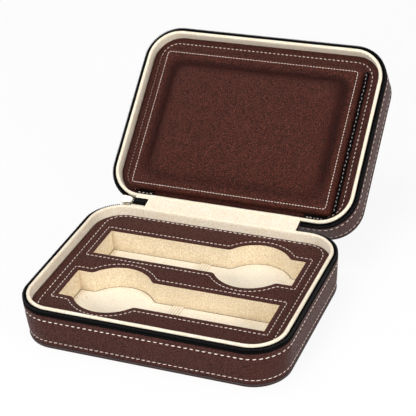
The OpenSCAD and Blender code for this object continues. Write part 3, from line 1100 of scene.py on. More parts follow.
def wall_seam(z: float, half: Half, sunk: float) -> tuple[list[Point3], list[Point3]]:
    """Line of a stitch row round the outer wall.

    Args:
        z: its height.
        half: the half whose wall it is on.
        sunk: its depth below the wall's face.

    Returns:
        Its points and the wall's normals there.
    """
    inset = SHELL.lean_at(z, half) + sunk
    hx, hy = SHELL.width / 2 - inset, SHELL.depth / 2 - inset
    outline = rounded_rect(hx, hy, SHELL.corner - inset, turns=16, side=30)
    line, normals = [], []
    for k, (x, y) in enumerate(outline):
        before, after = outline[k - 1], outline[(k + 1) % len(outline)]
        tx, ty = after[0] - before[0], after[1] - before[1]
        size = math.hypot(tx, ty)
        line.append((x, y, z))
        normals.append((ty / size, -tx / size, -SHELL.lean / SHELL.height(half)))
    return line, normals


# ---------------------------------------------------------------------------------------------
# Outer shells, shared by base and lid
# ---------------------------------------------------------------------------------------------


@dataclass
class OuterShell:
    """Leatherette wall, zip tape, coil turns, lining and stitch rows of one half."""

    half: Half
    wardrobe: Wardrobe
    rows: Point2 = (5.7, 23.9)
    groove_w: float = 1.1
    groove_d: float = 0.3
    bulge: float = 0.1
    piping_top: float = 2.4
    lining_foot: float = 3.2
    bed_drop: float = 1.4
    coil_in: float = 0.8
    coil_drop: float = 0.4
    stitch_upper: Stitch = Stitch(length=2.9, pitch=4.4, width=0.85, height=0.6)
    stitch_lower: Stitch = Stitch(length=3.1, pitch=3.95, width=0.55, height=0.5)
    coil_turn: Stitch = Stitch(length=1.15, pitch=1.5, width=1.7, height=1.75, sink=0.875, slant=14)

    @property
    def top(self) -> float:
        """Rim height of this half in its drawing frame."""
        return SHELL.height(self.half)

    @property
    def tape_in(self) -> float:
        """Inset of the zip's tape, whose outer face carries on the wall's lean."""
        return SHELL.lean * SHELL.tape_h / SHELL.base_h

    def _named(self, name: str) -> str:
        """Piece name with this half's name in front."""
        return f"{self.half.value}_{name}"

    def _place(self, obj: bpy.types.Object, finish: Finish, slot: str, *nodes: str) -> None:
        """Places a finished piece on this half."""
        self.wardrobe.place(obj, finish, self.half, slot, *nodes)

    def _row_heights(self) -> Point2:
        """Heights of the lower and the upper stitch row."""
        return self.rows[0], self.rows[1] + (self.top - SHELL.base_h)

    def wall(self) -> None:
        """The leatherette wall, with a rolled top edge and a shallow groove under each stitch row."""
        edge = self.top - SHELL.tape_h
        lower, upper = self._row_heights()
        side, side_d = self.groove_w / 2, self.groove_d * 0.6
        outside = [(0.35, self.piping_top), (0.0, self.piping_top + 0.5)]
        for row in (lower, upper):
            outside += [(0, row - self.groove_w), (side_d, row - side), (self.groove_d, row),
                        (side_d, row + side), (0, row + self.groove_w)]
            if row == lower:
                outside += [(-self.bulge, row + (edge - row) * k / 5) for k in (1, 2, 3)]
        outside += [(0, edge - 0.9), (0.1, edge - 0.4), (0.35, edge - 0.08), (0.7, edge)]
        section = [(SHELL.lean_at(z, self.half) + d, z) for d, z in outside]
        inside = [(SHELL.lean_at(z, self.half) + SHELL.cover, z) for z in (edge, self.piping_top)]
        obj = sweep(self._named("leather_wall"), section + inside, ring_route())
        smooth(obj, 50)
        self._place(obj, LEATHER, "leatherette", self._named("wall_cover"))

    def seams(self) -> None:
        """The two stitch rows on the wall."""
        for k, (z, stitch) in enumerate(zip(self._row_heights(), (self.stitch_lower, self.stitch_upper))):
            line, normals = wall_seam(z, self.half, self.groove_d)
            obj = Seam(self._named(f"wall_stitches_{k + 1}"), stitch, 11 + k).lay(line, normals, True)
            self._place(obj, THREAD, "leatherette")

    def lining(self) -> None:
        """The lining: a padded roll along the rim over a soft inner wall."""
        outer, inner = SHELL.tape_w + 0.1, SHELL.wall
        radius = (inner - outer) / 2
        crest = self.top + SHELL.roll_h - radius
        turns = 12
        section = [(inner - 0.02, self.lining_foot), (inner, 12.0), (inner, 20.0), (inner + 0.05, 26.0),
                   (inner, crest - 1.2)]
        section += [(outer + radius + radius * math.cos(a), crest + radius * math.sin(a))
                    for a in (math.pi * k / turns for k in range(turns + 1))]
        section += [(outer, self.top - SHELL.tape_h + 0.1), (outer + 0.6, self.top - SHELL.tape_h),
                    (inner - 0.35, 16.0), (inner - 0.25, self.lining_foot)]
        obj = sweep(self._named("lining"), section, ring_route())
        ripple(obj, "lining_wave", size=0.016, height=0.00022)
        smooth(obj, 60)
        self._place(obj, LINING, "suede_lining", self._named("wall_lining"))

    def zip_tape(self) -> None:
        """The zip's tape: woven edge above the leatherette, a bed for the coil and a fold at its top."""
        low, bed, top = self.top - SHELL.tape_h, self.top - self.bed_drop, self.top
        inset, inner = self.tape_in, SHELL.tape_w
        section = [(inset + 0.15, low), (inset + 0.02, low + 0.3), (inset, low + 1.0),
                   (inset + 0.05, bed - 0.2), (inset + 0.3, bed), (inset + 1.0, bed - 0.1),
                   (inset + 1.85, bed), (inset + 1.95, top - 0.3), (inset + 2.1, top - 0.02),
                   (inner - 0.15, top), (inner, top - 0.2), (inner, low + 0.1), (inner - 0.8, low)]
        obj = sweep(self._named("woven_tape"), section, zip_route())
        smooth(obj, 50)
        self._place(obj, BLACK_TAPE_AND_SHADE, "zip_tape", self._named("zip_tape"))

    def coil(self) -> None:
        """The coil: one slanted nylon turn after another round the zip's run."""
        line = zip_route().line(self.tape_in + self.coil_in, self.top - self.coil_drop)
        obj = Seam(self._named("coil_turns"), self.coil_turn, 31).lay(line, [UP] * len(line), False)
        self._place(obj, COIL, "zip_coil", self._named("zip_coil"))

    def build(self) -> None:
        """Builds every piece of the shell and dresses the CAD pieces that stay."""
        self.wall()
        self.seams()
        self.lining()
        self.zip_tape()
        self.coil()
        panel = "top" if self.half is Half.LID else "bottom"
        self.wardrobe.dress_nodes(PANEL, self._named(f"{panel}_cover"))
        self.wardrobe.dress_nodes(BOARD, self._named(f"{panel}_board"), self._named("wall_board"))
        self.wardrobe.dress_nodes(PIPING, self._named("piping"))


# ---------------------------------------------------------------------------------------------
# Tray with its wells
# ---------------------------------------------------------------------------------------------


@dataclass(frozen=True)
class Well:
    """One watch well: a strap channel with a round pocket, turned half round for the back one."""

    name: str
    centre_y: float
    turned: bool
    half_length: float = 77.5
    half_width: float = 16.0
    head_r: float = 28.4
    head_x: float = 42.3
    blend_r: float = 4.0
    long_steps: int = 26
    short_steps: int = 5
    head_steps: int = 26
    blend_steps: int = 6
    end_steps: int = 6

    def outline(self, grow: float) -> list[Point2]:
        """Points round the well, grown outwards.

        Args:
            grow: distance outside the well's mouth, or inside it if negative.

        Returns:
            Equally many points for any growth, anticlockwise, in the tray's plane.
        """
        half, r = self.half_width + grow, self.head_r + grow
        fr = max(0.05, self.blend_r - grow)
        dx = math.sqrt((r + fr) ** 2 - (half + fr) ** 2)
        end = self.half_length + grow
        lean = math.atan2(half + fr, dx)
        right, left = dx - self.head_x, -dx - self.head_x
        upper = line_points((end, half), (right, half), self.long_steps)
        upper += arc_points((right, half + fr), fr, -math.pi / 2, -math.pi + lean, self.blend_steps)
        upper += arc_points((-self.head_x, 0), r, lean, math.pi - lean, self.head_steps)
        upper += arc_points((left, half + fr), fr, -lean, -math.pi / 2, self.blend_steps)
        upper += line_points((left, half), (-end, half), self.short_steps)
        upper += line_points((-end, half), (-end, 0), self.end_steps)
        lower = [(x, -y) for x, y in reversed(upper[1:])]
        points = upper + [(-end, 0)] + lower + line_points((end, -half), (end, half), 2 * self.end_steps)
        sign = -1 if self.turned else 1
        return [(sign * x, sign * y + self.centre_y) for x, y in points]

    def rings(self, profile: list[Point2]) -> list[list[Point3]]:
        """Rings round the well, one for each (growth, height) of a profile."""
        return [[(x, y, z) for x, y in self.outline(grow)] for grow, z in profile]


@dataclass(frozen=True)
class StrapBand:
    """A ribbed elastic band across a well's floor, in millimetres."""

    width: float = 8.0
    side_gap: float = 0.2
    shift: float = 1.0
    rise: float = 0.42
    crown: float = 0.35
    thickness: float = 0.35
    ribs: int = 4
    rib_h: float = 0.62
    rib_shape: float = 0.7
    rib_shade: float = 0.42
    tuck_from: float = 0.47
    tuck_d: float = 0.5

    def build(self, well: Well, floor: float) -> bpy.types.Object:
        """Makes a band of round ribs on a thin web, which follows the crowned floor.

        Args:
            well: the well that it crosses.
            floor: the height of the well's floor.

        Returns:
            The band, with a painted-shade attribute that is highest in the grooves between the ribs.
        """
        middle = -self.shift if well.turned else self.shift
        obj = flat_grid(f"{well.name}_elastic", 40, 20)
        points: list[Point3] = []
        grooves: list[float] = []
        for v in obj.data.vertices:
            x, y = v.co.x * self.width, v.co.y * 2 * (well.half_width - self.side_gap)
            wave = abs(math.sin(math.pi * (x / self.width + 0.5) * self.ribs))
            rib = self.rib_h * wave ** self.rib_shape
            crown = self.crown * (1 - (2 * v.co.y) ** 4)
            tuck = self.tuck_d * (max(0.0, abs(v.co.y) - self.tuck_from) / (0.5 - self.tuck_from))
            points.append((middle + x, well.centre_y + y, floor + self.rise + crown + rib - tuck))
            # painted shade: darkest in the grooves between the ribs
            grooves.append(max(0.0, 1 - rib / self.rib_shade))
        put_points(obj, points)
        obj.data.attributes.new("painted_shade", "FLOAT", "POINT").data.foreach_set("value", grooves)
        apply_modifier(obj, "SOLIDIFY", thickness=self.thickness * MM, offset=-1)
        smooth(obj, 60)
        return obj


@dataclass
class Tray:
    """The leatherette tray, its two wells with velvet walls and padded floors, bands and stitching."""

    wardrobe: Wardrobe
    top: float = 25.6
    floor: float = 8.5
    under: float = 22.6
    bottom: float = 3.1
    edge_t: float = 0.95
    edge_r: float = 0.75
    seam_out: float = 3.9
    groove_d: float = 0.4
    groove_side: float = 0.35
    seam_half_x: float = 87.0
    seam_half_y: float = 66.4
    seam_shift: float = 0.6
    seam_r: float = 14.0
    inner_half_x: float = 93.8
    inner_half_y: float = 68.8
    inner_r: float = 21.8
    velvet_drop: float = 1.02
    velvet_back: float = 1.3
    wells: tuple[Well, ...] = (Well("front", -27.0, False), Well("back", 29.0, True))
    band: StrapBand = StrapBand()
    stitch_edge: Stitch = Stitch(length=2.75, pitch=3.9, width=0.7, height=0.5)
    stitch_well: Stitch = Stitch(length=2.45, pitch=3.4, width=0.62, height=0.46)

    def _place(self, obj: bpy.types.Object, finish: Finish, slot: str, *nodes: str) -> None:
        """Hands over a finished piece of the base."""
        self.wardrobe.hand_over(obj, finish, Half.BASE, slot, *nodes)

    def _groove(self, reach: float) -> list[Point2]:
        """Section of the groove that a stitch row lies in.

        Args:
            reach: how far its rounded shoulders reach to either side.

        Returns:
            Its points as (distance outwards, height).
        """
        low, deep = self.top - self.groove_d * 0.8, self.top - self.groove_d
        return [(-reach, self.top), (-self.groove_side, low), (0, deep), (self.groove_side, low),
                (reach, self.top)]

    def _lip(self, well: Well) -> bpy.types.Object:
        """The leatherette round one mouth: cut edge over the velvet, rounded arris and stitched groove.

        Args:
            well: the well.

        Returns:
            An open skin.
        """
        cut, turns = self.top - self.edge_t, 5
        profile = [(1.3, cut), (0.1, cut), (0.0, self.top - self.edge_r)]
        profile += [(self.edge_r * (1 - math.cos(a)), self.top - self.edge_r * (1 - math.sin(a)))
                    for a in (math.pi / 2 * k / turns for k in range(1, turns + 1))]
        profile += [(2.0, self.top + 0.05)]
        profile += [(self.seam_out + out, z) for out, z in self._groove(0.9)]
        return wrapped_rings(f"{well.name}_lip", well.rings(profile))

    def _border(self) -> bpy.types.Object:
        """The leatherette's outer border: turned-down edge, rolled shoulder and stitched groove.

        Returns:
            An open skin.
        """
        edge = [(1.0, self.under), (0, self.under), (0, self.top - 1.0), (0.12, self.top - 0.5),
                (0.45, self.top - 0.12), (0.9, self.top)]
        rings = []
        for inset, z in edge:
            outline = rounded_rect(self.inner_half_x - inset, self.inner_half_y - inset, self.inner_r - inset)
            rings.append([(x, y, z) for x, y in outline])
        for inset, z in self._groove(0.85):
            outline = rounded_rect(self.seam_half_x - inset, self.seam_half_y - inset, self.seam_r - inset,
                                   (0, self.seam_shift))
            rings.append([(x, y, z) for x, y in outline])
        return wrapped_rings("tray_border", rings)

    def cover(self) -> None:
        """The tray's leatherette: border, both lips and the flat between them, filled as one skin."""
        obj = join([self._border()] + [self._lip(w) for w in self.wells], "tray_leather")
        fill_rim(obj, self.top - 0.2, self.top + 0.2)
        smooth(obj, 35)
        if sum(p.normal.z * p.area for p in obj.data.polygons) < 0:
            obj.data.flip_normals()
        self._place(obj, LEATHER, "leatherette", "tray_cover")

    def walls(self) -> None:
        """Velvet walls of both wells, with soft lower edges."""
        foot, edge = self.floor - 0.6, self.top - self.velvet_drop
        profile = [(0.22, edge), (0.2, 16.0), (0.22, self.floor + 1), (0.3, foot), (self.velvet_back, foot),
                   (self.velvet_back, self.under - 0.1), (self.velvet_back, edge)]
        for well in self.wells:
            obj = wrapped_rings(f"{well.name}_velvet_wall", well.rings(profile), close_section=True)
            smooth(obj, 40)
            self._place(obj, VELVET, "velvet", f"{well.name}_well_wall")

    def floors(self) -> None:
        """Padded floors, crowned in the middle and drawn down along the walls."""
        crown = ((-0.15, -0.55), (-0.8, -0.1), (-2.0, 0.12), (-4.0, 0.28), (-7.0, 0.4), (-11.0, 0.5))
        profile = [(0.15, self.bottom), (0.15, self.floor - 1.2)]
        profile += [(grow, self.floor + rise) for grow, rise in crown]
        for well in self.wells:
            obj = wrapped_rings(f"{well.name}_floor_pad", well.rings(profile))
            fill_rim(obj, self.floor, self.floor + 1)
            fill_rim(obj, self.bottom - 1, self.bottom + 1)
            smooth(obj, 40)
            self._place(obj, SUEDE, "suede_lining", f"{well.name}_well_floor")

    def bands(self) -> None:
        """Elastic bands across both wells."""
        for well in self.wells:
            obj = self.band.build(well, self.floor)
            self._place(obj, ELASTIC, "elastic", f"{well.name}_strap_band")

    def seams(self) -> None:
        """Stitch rows round the tray and round each mouth."""
        deep = self.top - self.groove_d
        border = rounded_rect(self.seam_half_x, self.seam_half_y, self.seam_r, (0, self.seam_shift),
                              turns=20, side=30)
        rows = [("tray_stitches", border, self.stitch_edge, 3)]
        rows += [(f"{well.name}_well_stitches", well.outline(self.seam_out), self.stitch_well, 5 + k)
                 for k, well in enumerate(self.wells)]
        for name, outline, stitch, seed in rows:
            line = [(x, y, deep) for x, y in outline]
            obj = Seam(name, stitch, seed).lay(line, [UP] * len(line), True)
            self._place(obj, THREAD, "leatherette")

    def build(self) -> None:
        """Builds the whole tray and dresses the foam and board under it."""
        self.cover()
        self.walls()
        self.floors()
        self.bands()
        self.seams()
        self.wardrobe.dress_nodes(FOAM, "insert_foam")
        self.wardrobe.dress_nodes(BOARD, "tray_board")


# ---------------------------------------------------------------------------------------------
# Lid lining and cushion
# ---------------------------------------------------------------------------------------------


@dataclass
class LidPart:
    """A part of the lid's inside, drawn in the lid's drawing frame."""

    wardrobe: Wardrobe

    def _place(self, obj: bpy.types.Object, finish: Finish, slot: str, *nodes: str) -> None:
        """Places a finished piece on the lid."""
        self.wardrobe.place(obj, finish, Half.LID, slot, *nodes)


@dataclass
class Cushion(LidPart):
    """The padded cushion with its stitch row, in millimetres."""

    half_x: float = 82.5
    half_y: float = 60.25
    centre: Point2 = (-1.0, 4.0)
    corner: float = 5.0
    border_h: float = 9.2
    block_gap: float = 0.4
    block_bevel: float = 2.2
    voxel: float = 3.0
    pressure: float = 4.0
    swell_frames: int = 20
    cap: float = 2.2
    seam_in: float = 3.9
    seam_w: float = 0.75
    seam_d: float = 0.6
    valley_in: float = 11.0
    valley_w: float = 3.6
    valley_d: float = 2.3
    valley_fade: float = 0.55
    crown_in: float = 19.0
    crown_w: float = 4.2
    crown_h: float = 2.6
    most_proud: float = 3.0
    # Each set of creases: depth, length along X, length along Y, place in the noise.
    creases: tuple[tuple[float, float, float, float], ...] = ((0.55, 17, 13, 3.7), (0.25, 7, 6, 9.1))
    crease_in: float = 7.0
    face_from: float = 5.5
    held_low: float = 2.5
    held_valley: float = 2.2
    held_seam: float = 1.0
    fade_y: float = 40.0
    fade_w: float = 4.0
    # Widths of the painted shade outside and inside the valley.
    painted_shade_outside: float = 2.8
    painted_shade_inside: float = 5.5
    line_from: float = 5.0
    line_corner: float = 1.8
    stitch: Stitch = Stitch(length=1.9, pitch=2.35, width=0.5, height=0.42, sink=0.1, slant=4.0)

    def pad(self) -> bpy.types.Object:
        """The pad: a block inflated as cloth, then drawn down by its seam and its channel.

        Returns:
            The pad, in the part's frame.
        """
        obj = unit_block("lid_cushion")
        width, depth = 2 * (self.half_x - self.block_gap), 2 * (self.half_y - self.block_gap)
        height = self.border_h - self.block_gap
        put_points(obj, [(v.co.x * width + self.centre[0], v.co.y * depth + self.centre[1],
                          SHELL.liner_top + (v.co.z + 0.5) * height) for v in obj.data.vertices])
        edit(obj)
        bpy.ops.mesh.bevel(offset=self.block_bevel * MM, segments=4, affect="EDGES")
        close_edit()
        make_active(obj)
        obj.data.remesh_voxel_size = self.voxel * MM
        bpy.ops.object.voxel_remesh()
        self._inflate(obj)
        apply_modifier(obj, "SUBSURF", levels=1, render_levels=1)
        self._draw_down(obj)
        smooth(obj, 70)
        self._place(obj, CUSHION, "leatherette", "lid_pad_cover", "lid_pad_foam")
        return obj

    def _edge_distances(self, x: float, y: float) -> Point2:
        """Distances in from the cushion's nearer side edge and its nearer long edge."""
        return self.half_x - abs(x - self.centre[0]), self.half_y - abs(y - self.centre[1])

    def _edge_distance(self, x: float, y: float) -> float:
        """Distance in from the cushion's edge, rounded at its corners.

        Args:
            x: the point's place along X.
            y: its place along Y.

        Returns:
            The distance in millimetres.
        """
        dx, dy = self._edge_distances(x, y)
        if dx < self.corner and dy < self.corner:
            return self.corner - math.hypot(self.corner - dx, self.corner - dy)
        return min(dx, dy)

    def _soft_distance(self, x: float, y: float) -> float:
        """Distance in from the cushion's edge, with its lines turning softly at the corners.

        Args:
            x: the point's place along X.
            y: its place along Y.

        Returns:
            The distance in millimetres.
        """
        dx, dy = self._edge_distances(x, y)
        reach = self.valley_in
        near = max(reach - abs(dx - dy), 0) / reach
        return min(dx, dy) - near * near * reach / 4

    def _inflate(self, obj: bpy.types.Object) -> None:
        """Blows the cushion up as cloth, held along its seam, and caps how far each point moves.

        Args:
            obj: the cushion's block.
        """
        held = obj.vertex_groups.new(name="held")
        start = np.array([v.co for v in obj.data.vertices], float)
        for v in obj.data.vertices:
            d = self._edge_distance(v.co.x / MM, v.co.y / MM)
            low = v.co.z < (SHELL.liner_top + self.held_low) * MM
            valley = abs(d - self.valley_in) < self.held_valley
            if low or valley or abs(d - self.seam_in) < self.held_seam:
                held.add([v.index], 1.0, "REPLACE")
        make_active(obj)
        cloth = obj.modifiers.new("cloth", "CLOTH")
        cloth.settings.effector_weights.gravity = 0
        settings = {"quality": 6, "mass": 0.2, "use_pressure": True, "uniform_pressure_force": self.pressure,
                    "tension_stiffness": 12, "compression_stiffness": 12, "bending_stiffness": 2.0,
                    "vertex_group_mass": "held"}
        for key, value in settings.items():
            setattr(cloth.settings, key, value)
        cloth.point_cache.frame_start, cloth.point_cache.frame_end = 1, self.swell_frames
        for step in range(1, self.swell_frames + 1):
            bpy.context.scene.frame_set(step)
        shaped = obj.evaluated_get(bpy.context.evaluated_depsgraph_get()).data
        shift = np.array([v.co for v in shaped.vertices], float) - start
        obj.modifiers.remove(cloth)
        bpy.context.scene.frame_set(1)
        size = np.linalg.norm(shift, axis=1, keepdims=True)
        limit = self.cap * MM
        LOG.info("cushion swelled by up to %.2f mm, capped at %.2f mm", size.max() / MM, self.cap)
        shift *= np.where(size > limit, limit / np.maximum(size, 1e-9), 1)
        for v, co in zip(obj.data.vertices, start + shift):
            v.co = co
        obj.vertex_groups.clear()

    def _draw_down(self, obj: bpy.types.Object) -> None:
        """Shapes the cushion's face: seam's groove, soft valley, crown, slight creases, and painted shade in
        the valley.

        Args:
            obj: the cushion, whose new attribute of painted shade says how far each point lies in the valley.
        """
        painted_shade = obj.data.attributes.new("painted_shade", "FLOAT", "POINT")
        most = SHELL.liner_top + self.border_h + self.most_proud
        for v in obj.data.vertices:
            x, y, z = (c / MM for c in v.co)
            if z < SHELL.liner_top + self.face_from:
                continue
            d = self._edge_distance(x, y)
            inner = self._soft_distance(x, y)
            share = 1 - self.valley_fade * climb(y - self.centre[1], self.fade_y, self.fade_w)
            seam = self.seam_d * bell(d, self.seam_in, self.seam_w)
            valley = share * self.valley_d * bell(inner, self.valley_in, self.valley_w)
            crown = self.crown_h * climb(inner, self.crown_in, self.crown_w)
            spread = self.painted_shade_outside if inner < self.valley_in else self.painted_shade_inside
            # painted shade: darkest along the valley, fading towards the top end
            painted_shade.data[v.index].value = share * bell(inner, self.valley_in, spread)
            soft = climb(d, self.crease_in, 1)
            crease = sum(depth * soft * noise.noise(Vector((x / along, y / across, spot)))
                         for depth, along, across, spot in self.creases)
            v.co.z = min(z - seam - valley + crown + crease, most) * MM

    def seam(self, pad: bpy.types.Object) -> None:
        """The fine stitch row round the pad's face, laid on the finished surface.

        Args:
            pad: the finished pad.
        """
        back = SHELL.placement(Half.LID).inverted()
        points = np.array([back @ v.co for v in pad.data.vertices], float) / MM
        face = points[points[:, 2] > SHELL.liner_top + self.line_from]
        outline = rounded_rect(self.half_x - self.seam_in, self.half_y - self.seam_in, self.line_corner,
                               self.centre, turns=8, side=40)
        line, nearest = [], 5
        for x, y in outline:
            near = np.argsort((face[:, 0] - x) ** 2 + (face[:, 1] - y) ** 2)[:nearest]
            line.append((x, y, float(face[near, 2].mean())))
        row = Seam("cushion_stitches", self.stitch, 17).lay(line, [UP] * len(line), True)
        self._place(row, THREAD, "leatherette")

    def build(self) -> None:
        """Builds the cushion."""
        self.seam(self.pad())


@dataclass
class LidShadeSheets(LidPart):
    """Painted shade beside the cushion and at the hinge's ends: black sheets that stand for the shadow there,
    in millimetres.
    """

    strip_x: float = 83.0
    strip_y: float = 2.5
    strip_w: float = 1.9
    strip_l: float = 116.0
    strip_h: float = 2.6
    strip_wander: float = 0.9
    strip_wave: float = 3.1
    strip_edge: float = 1.6
    strip_lift: float = 0.02
    strip_seam_half: float = 57.0
    strip_seam_up: float = 0.15
    patches: tuple[tuple[str, float, float], ...] = (("corner_patch_left", -76.0, -61.5),
                                                     ("corner_patch_right", 61.5, 82.0))
    patch_y: float = 66.7
    patch_lean: float = 1.7
    patch_h: float = 4.6
    patch_t: float = 0.6
    patch_lift: float = 0.05
    patch_wander: float = 1.1
    patch_wave: float = 1.9
    patch_seam_in: float = 0.8
    patch_seam_back: float = 0.75
    patch_seam_up: float = 2.1
    patch_normal: Point3 = (0, 0.945, 0.33)
    stitch_strip: Stitch = Stitch(length=2.0, pitch=3.3, width=0.62, height=0.5, sink=0.1, slant=0.0,
                                  zigzag=22.0, sway=0.35)
    stitch_patch: Stitch = Stitch(length=2.3, pitch=2.9, width=1.2, height=0.6, sink=0.1, slant=8.0,
                                  zigzag=3.0, sway=0.1)

    def _painted_shade_strip(self) -> bpy.types.Object:
        """Painted shade beside the cushion: a black strip in the shadow gap there, with wavy long edges.

        Returns:
            The strip, in the drawing frame.
        """
        obj = unit_block("pad_side")
        edit(obj)
        bpy.ops.mesh.subdivide(number_cuts=2)
        bpy.ops.object.mode_set(mode="OBJECT")
        for v in obj.data.vertices:
            v.co = (v.co.x * self.strip_w, v.co.y * self.strip_l, (v.co.z + 0.5) * self.strip_h)
        edit(obj)
        for _ in range(4):
            bpy.ops.mesh.select_all(action="DESELECT")
            bpy.ops.object.mode_set(mode="OBJECT")
            for edge in obj.data.edges:
                a, b = (obj.data.vertices[k].co for k in edge.vertices)
                edge.select = abs(b.y - a.y) > self.strip_edge
            bpy.ops.object.mode_set(mode="EDIT")
            bpy.ops.mesh.subdivide(number_cuts=1)
        close_edit()
        points = []
        for x, y, z in (v.co for v in obj.data.vertices):
            side = x / self.strip_w * 2
            spot = Vector((y / self.strip_wave, 5.0 * round(side), 8.0))
            wander = self.strip_wander * noise.noise(spot)
            points.append((self.strip_x + x + wander * abs(side), self.strip_y + y,
                           SHELL.liner_top + self.strip_lift + z))
        put_points(obj, points)
        apply_modifier(obj, "BEVEL", width=0.2 * MM, segments=2, limit_method="ANGLE")
        smooth(obj, 50)
        return obj

    def _patch(self, name: str, x0: float, x1: float) -> bpy.types.Object:
        """A black patch that climbs from the facing on to the cushion's side, with a scalloped edge: painted
        shade for the shadow there.

        Args:
            name: the new object's name.
            x0: its left end.
            x1: its right end.

        Returns:
            The patch, in the drawing frame.
        """
        obj = flat_grid(name, 36, 5)
        points = []
        for v in obj.data.vertices:
            x = x0 + (x1 - x0) * (v.co.x + 0.5)
            up = v.co.y + 0.5
            spot = Vector((x / self.patch_wave, 2.0, 0.5))
            height = self.patch_h + self.patch_wander * noise.noise(spot)
            points.append((x, self.patch_y - self.patch_lean * up,
                           SHELL.liner_top + self.patch_lift + up * height))
        put_points(obj, points)
        edit(obj)
        close_edit()
        apply_modifier(obj, "SOLIDIFY", thickness=self.patch_t * MM, offset=0)
        smooth(obj, 50)
        return obj

    def strip(self) -> None:
        """The black strip of painted shade beside the cushion, with its whip stitches, whose grey thread is
        painted shade too.
        """
        # black strip of painted shade in the gap beside the cushion
        self._place(self._painted_shade_strip(), BLACK_TAPE_AND_SHADE, "zip_tape", "pad_side_gusset")
        height = SHELL.liner_top + self.strip_h + self.strip_seam_up
        line = [(self.strip_x, self.strip_y + end * self.strip_seam_half, height) for end in (-1, 1)]
        row = Seam("pad_side_stitches", self.stitch_strip, 23).lay(line, [UP] * 2, False)
        # grey thread: painted shade on the stitches in that gap
        self._place(row, SHADED_GREY_THREAD, "zip_tape")

    def corners(self) -> None:
        """The two black patches of painted shade at the hinge's ends, each with its stitches."""
        y, z = self.patch_y - self.patch_seam_back, SHELL.liner_top + self.patch_seam_up
        for name, left, right in self.patches:
            # black patch of painted shade
            self._place(self._patch(name, left, right), BLACK_TAPE_AND_SHADE, "zip_tape")
            line = [(x, y, z) for x in (left + self.patch_seam_in, right - self.patch_seam_in)]
            row = Seam(f"{name}_stitches", self.stitch_patch, 29).lay(line, [self.patch_normal] * 2, False)
            self._place(row, THREAD, "zip_tape")

    def build(self) -> None:
        """Builds the strip and the patches."""
        self.strip()
        self.corners()


@dataclass
class LidLining(LidPart):
    """The lid's facing with its stitch rows, the cushion on it and the black sheets of painted shade, in
    millimetres.
    """

    seam_half_x: float = 87.9
    seam_half_y: float = 63.8
    seam_centre: Point2 = (-0.5, 0.2)
    seam_r: float = 14.0
    hinge_from: float = 60.0
    stitch_side: Stitch = Stitch(length=1.9, pitch=2.6, width=0.7, height=0.5, sink=0.08, slant=0.0,
                                 zigzag=32.0, sway=0.2)
    stitch_facing: Stitch = Stitch(length=2.3, pitch=3.5, width=0.6, height=0.45)

    def seams(self) -> None:
        """Stitch rows on the facing: brown whipping on the left, its colour painted shade, and a plain row
        round the rest.

        The hinge's lining covers the facing along the hinge, so there is no row there.
        """
        outline = rounded_rect(self.seam_half_x, self.seam_half_y, self.seam_r, self.seam_centre, turns=16,
                               side=30)

        def covered(point: Point2) -> bool:
            """Whether the hinge's lining lies over a point."""
            return abs(point[0]) < SHELL.hinge_half + 1 and point[1] > self.hinge_from

        start = next(k for k, p in enumerate(outline) if covered(outline[k - 1]) and not covered(p))
        kept = [p for p in outline[start:] + outline[:start] if not covered(p)]
        turn = next(k for k, p in enumerate(kept) if p[1] < self.seam_r - self.seam_half_y)
        # the left row's brown thread is painted shade
        rows = (("facing_side", kept[:turn + 1], self.stitch_side, SHADED_BROWN_THREAD),
                ("facing", kept[turn:], self.stitch_facing, THREAD))
        for k, (name, points, stitch, thread) in enumerate(rows):
            line = [(x, y, SHELL.liner_top) for x, y in points]
            row = Seam(f"{name}_stitches", stitch, 19 + k).lay(line, [UP] * len(line), False)
            self._place(row, thread, "leatherette")

    def build(self) -> None:
        """Builds the whole lining and dresses the facing, its board and its spacer."""
        Cushion(self.wardrobe).build()
        self.seams()
        LidShadeSheets(self.wardrobe).build()
        self.wardrobe.dress_nodes(LEATHER, "lid_liner_cover")
        self.wardrobe.dress_nodes(FOAM, "lid_spacer")
        self.wardrobe.dress_nodes(BOARD, "lid_liner_board")


# ---------------------------------------------------------------------------------------------
# Soft hinge and zip end
# ---------------------------------------------------------------------------------------------


